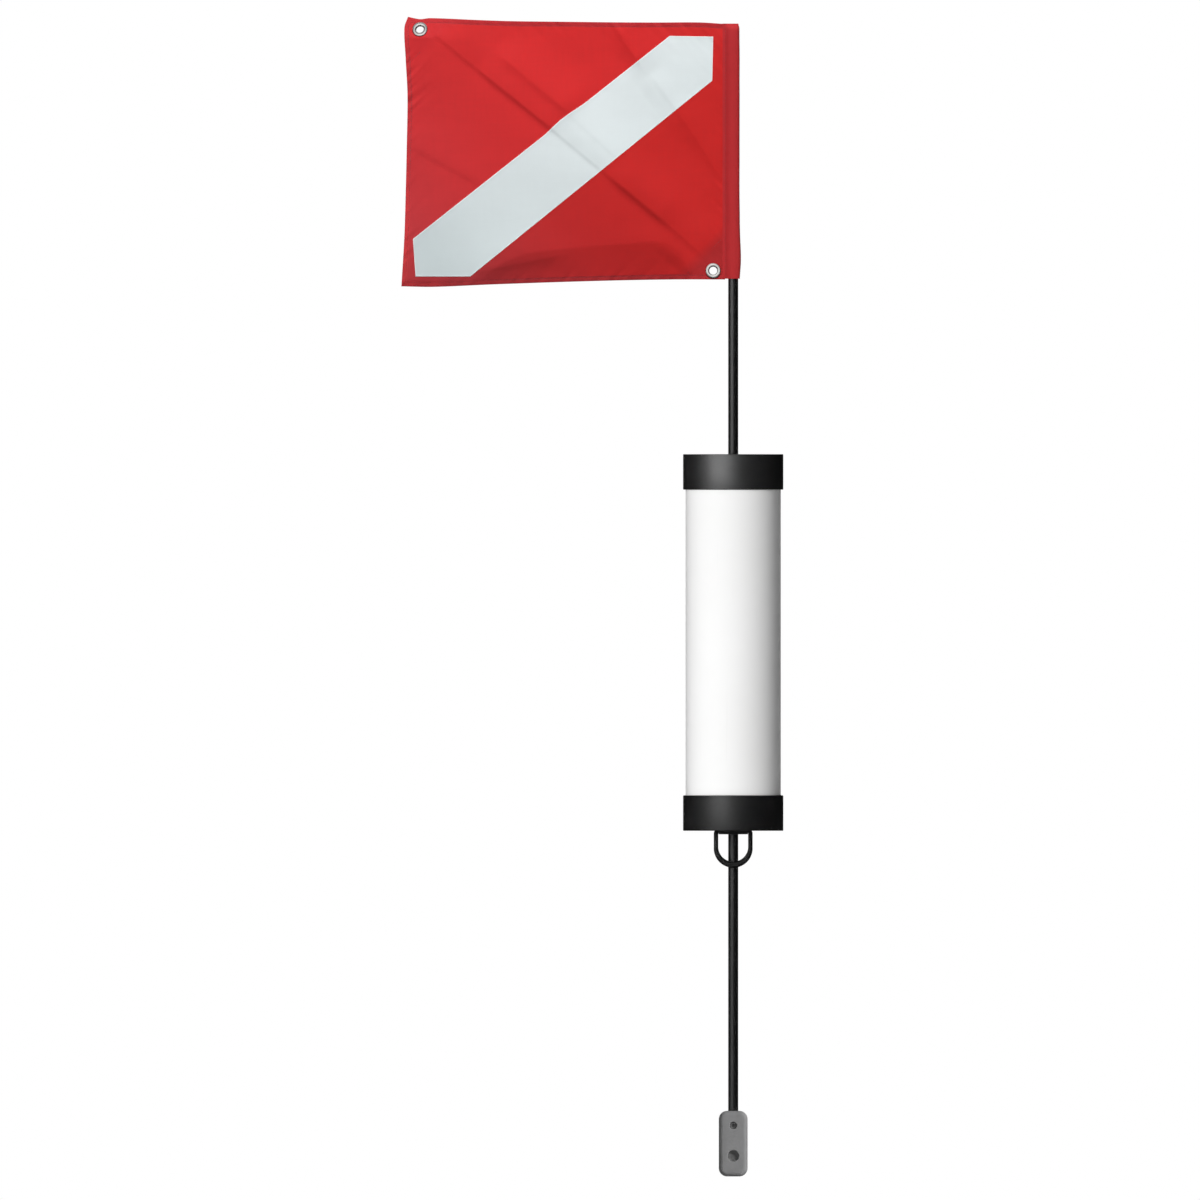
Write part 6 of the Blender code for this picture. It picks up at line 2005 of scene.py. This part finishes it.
for face_name, way in (("front", -1), ("back", 1)):
    stitches.append(stitch_row(f"sleeve_stitches_{face_name}", sleeve_line(),
                               lambda x, z, way=way: seam_point(STITCHED_POINT, way, z).y, way,
                               pitch=SLEEVE_STITCH_PITCH))
for pocket_name, _, corner, way, _ in POCKETS:
    low, high = slant_line(corner, way, POCKET_STITCH_INSET)
    start = (low[0] + (high[0] - low[0]) * 0.09, low[1] + (high[1] - low[1]) * 0.09)
    end = (low[0] + (high[0] - low[0]) * 0.91, low[1] + (high[1] - low[1]) * 0.91)
    stitches.append(stitch_row(f"{pocket_name}_stitches_front", [start, end],
                               lambda x, z: cloth_depth(x, z) - HALF_CLOTH, -1, skip=near_tunnel))
    stitches.append(stitch_row(f"{pocket_name}_stitches_back", [start, end],
                               lambda x, z: cloth_depth(x, z) + HALF_CLOTH + PATCH_CLEAR + PATCH_THICK, 1,
                               skip=near_tunnel))
print("stitch rows:", len(stitches))

# %% [markdown]
# ## What the cloth was cut to
#
# The sizes that the cloth had on the cutting table are not declared in this script. The panel's and the bands'
# sizes are measured in the photograph, and the hems that are turned in are added. Each pocket is half a square.

print("cloth cut sizes: not declared")

# %% [markdown]
# ## Which lamp lights which part
#
# A lamp with a receiver collection lights only what is in it. The flag's lamp lights the floor too, so that the
# shadow lies where one would expect it, and the lamp behind lights everything.

# %% Link the lamps
flag_parts = [flag_panel, flag_sleeve, front_band, rear_band, stiffener_rod, *pockets, *stitches]
weight_parts = [cast_weight, set_screw]
other_parts = [item for item in bpy.context.scene.objects
               if item.type == 'MESH' and item not in flag_parts + grommets + weight_parts + [floor]]
black_parts = [item for item in other_parts if item not in (float_pipe, lower_bead)]


def light_only(lamp, pieces):
    """Let a lamp light these pieces and nothing else."""
    group = bpy.data.collections.new(f"lit_by_{lamp.name}")
    for piece in pieces:
        group.objects.link(piece)
    lamp.light_linking.receiver_collection = group


light_only(float_lamp, other_parts)
light_only(sheen_lamp, black_parts)
light_only(top_cap_lamp, [top_cap_shell])
light_only(flag_lamp, flag_parts + [floor])
light_only(nickel_lamp, grommets)
light_only(weight_lamp, weight_parts)
light_only(weight_fill, weight_parts)
print("lit by the flag's lamp:", len(flag_parts), "and by the float's:", len(other_parts))

# %% [markdown]
# ## The CAD model's size
#
# The dressed model must stay as big as the CAD model. The CAD model's box is printed.

# %% Sizes
print("CAD box:", CAD_BOX)
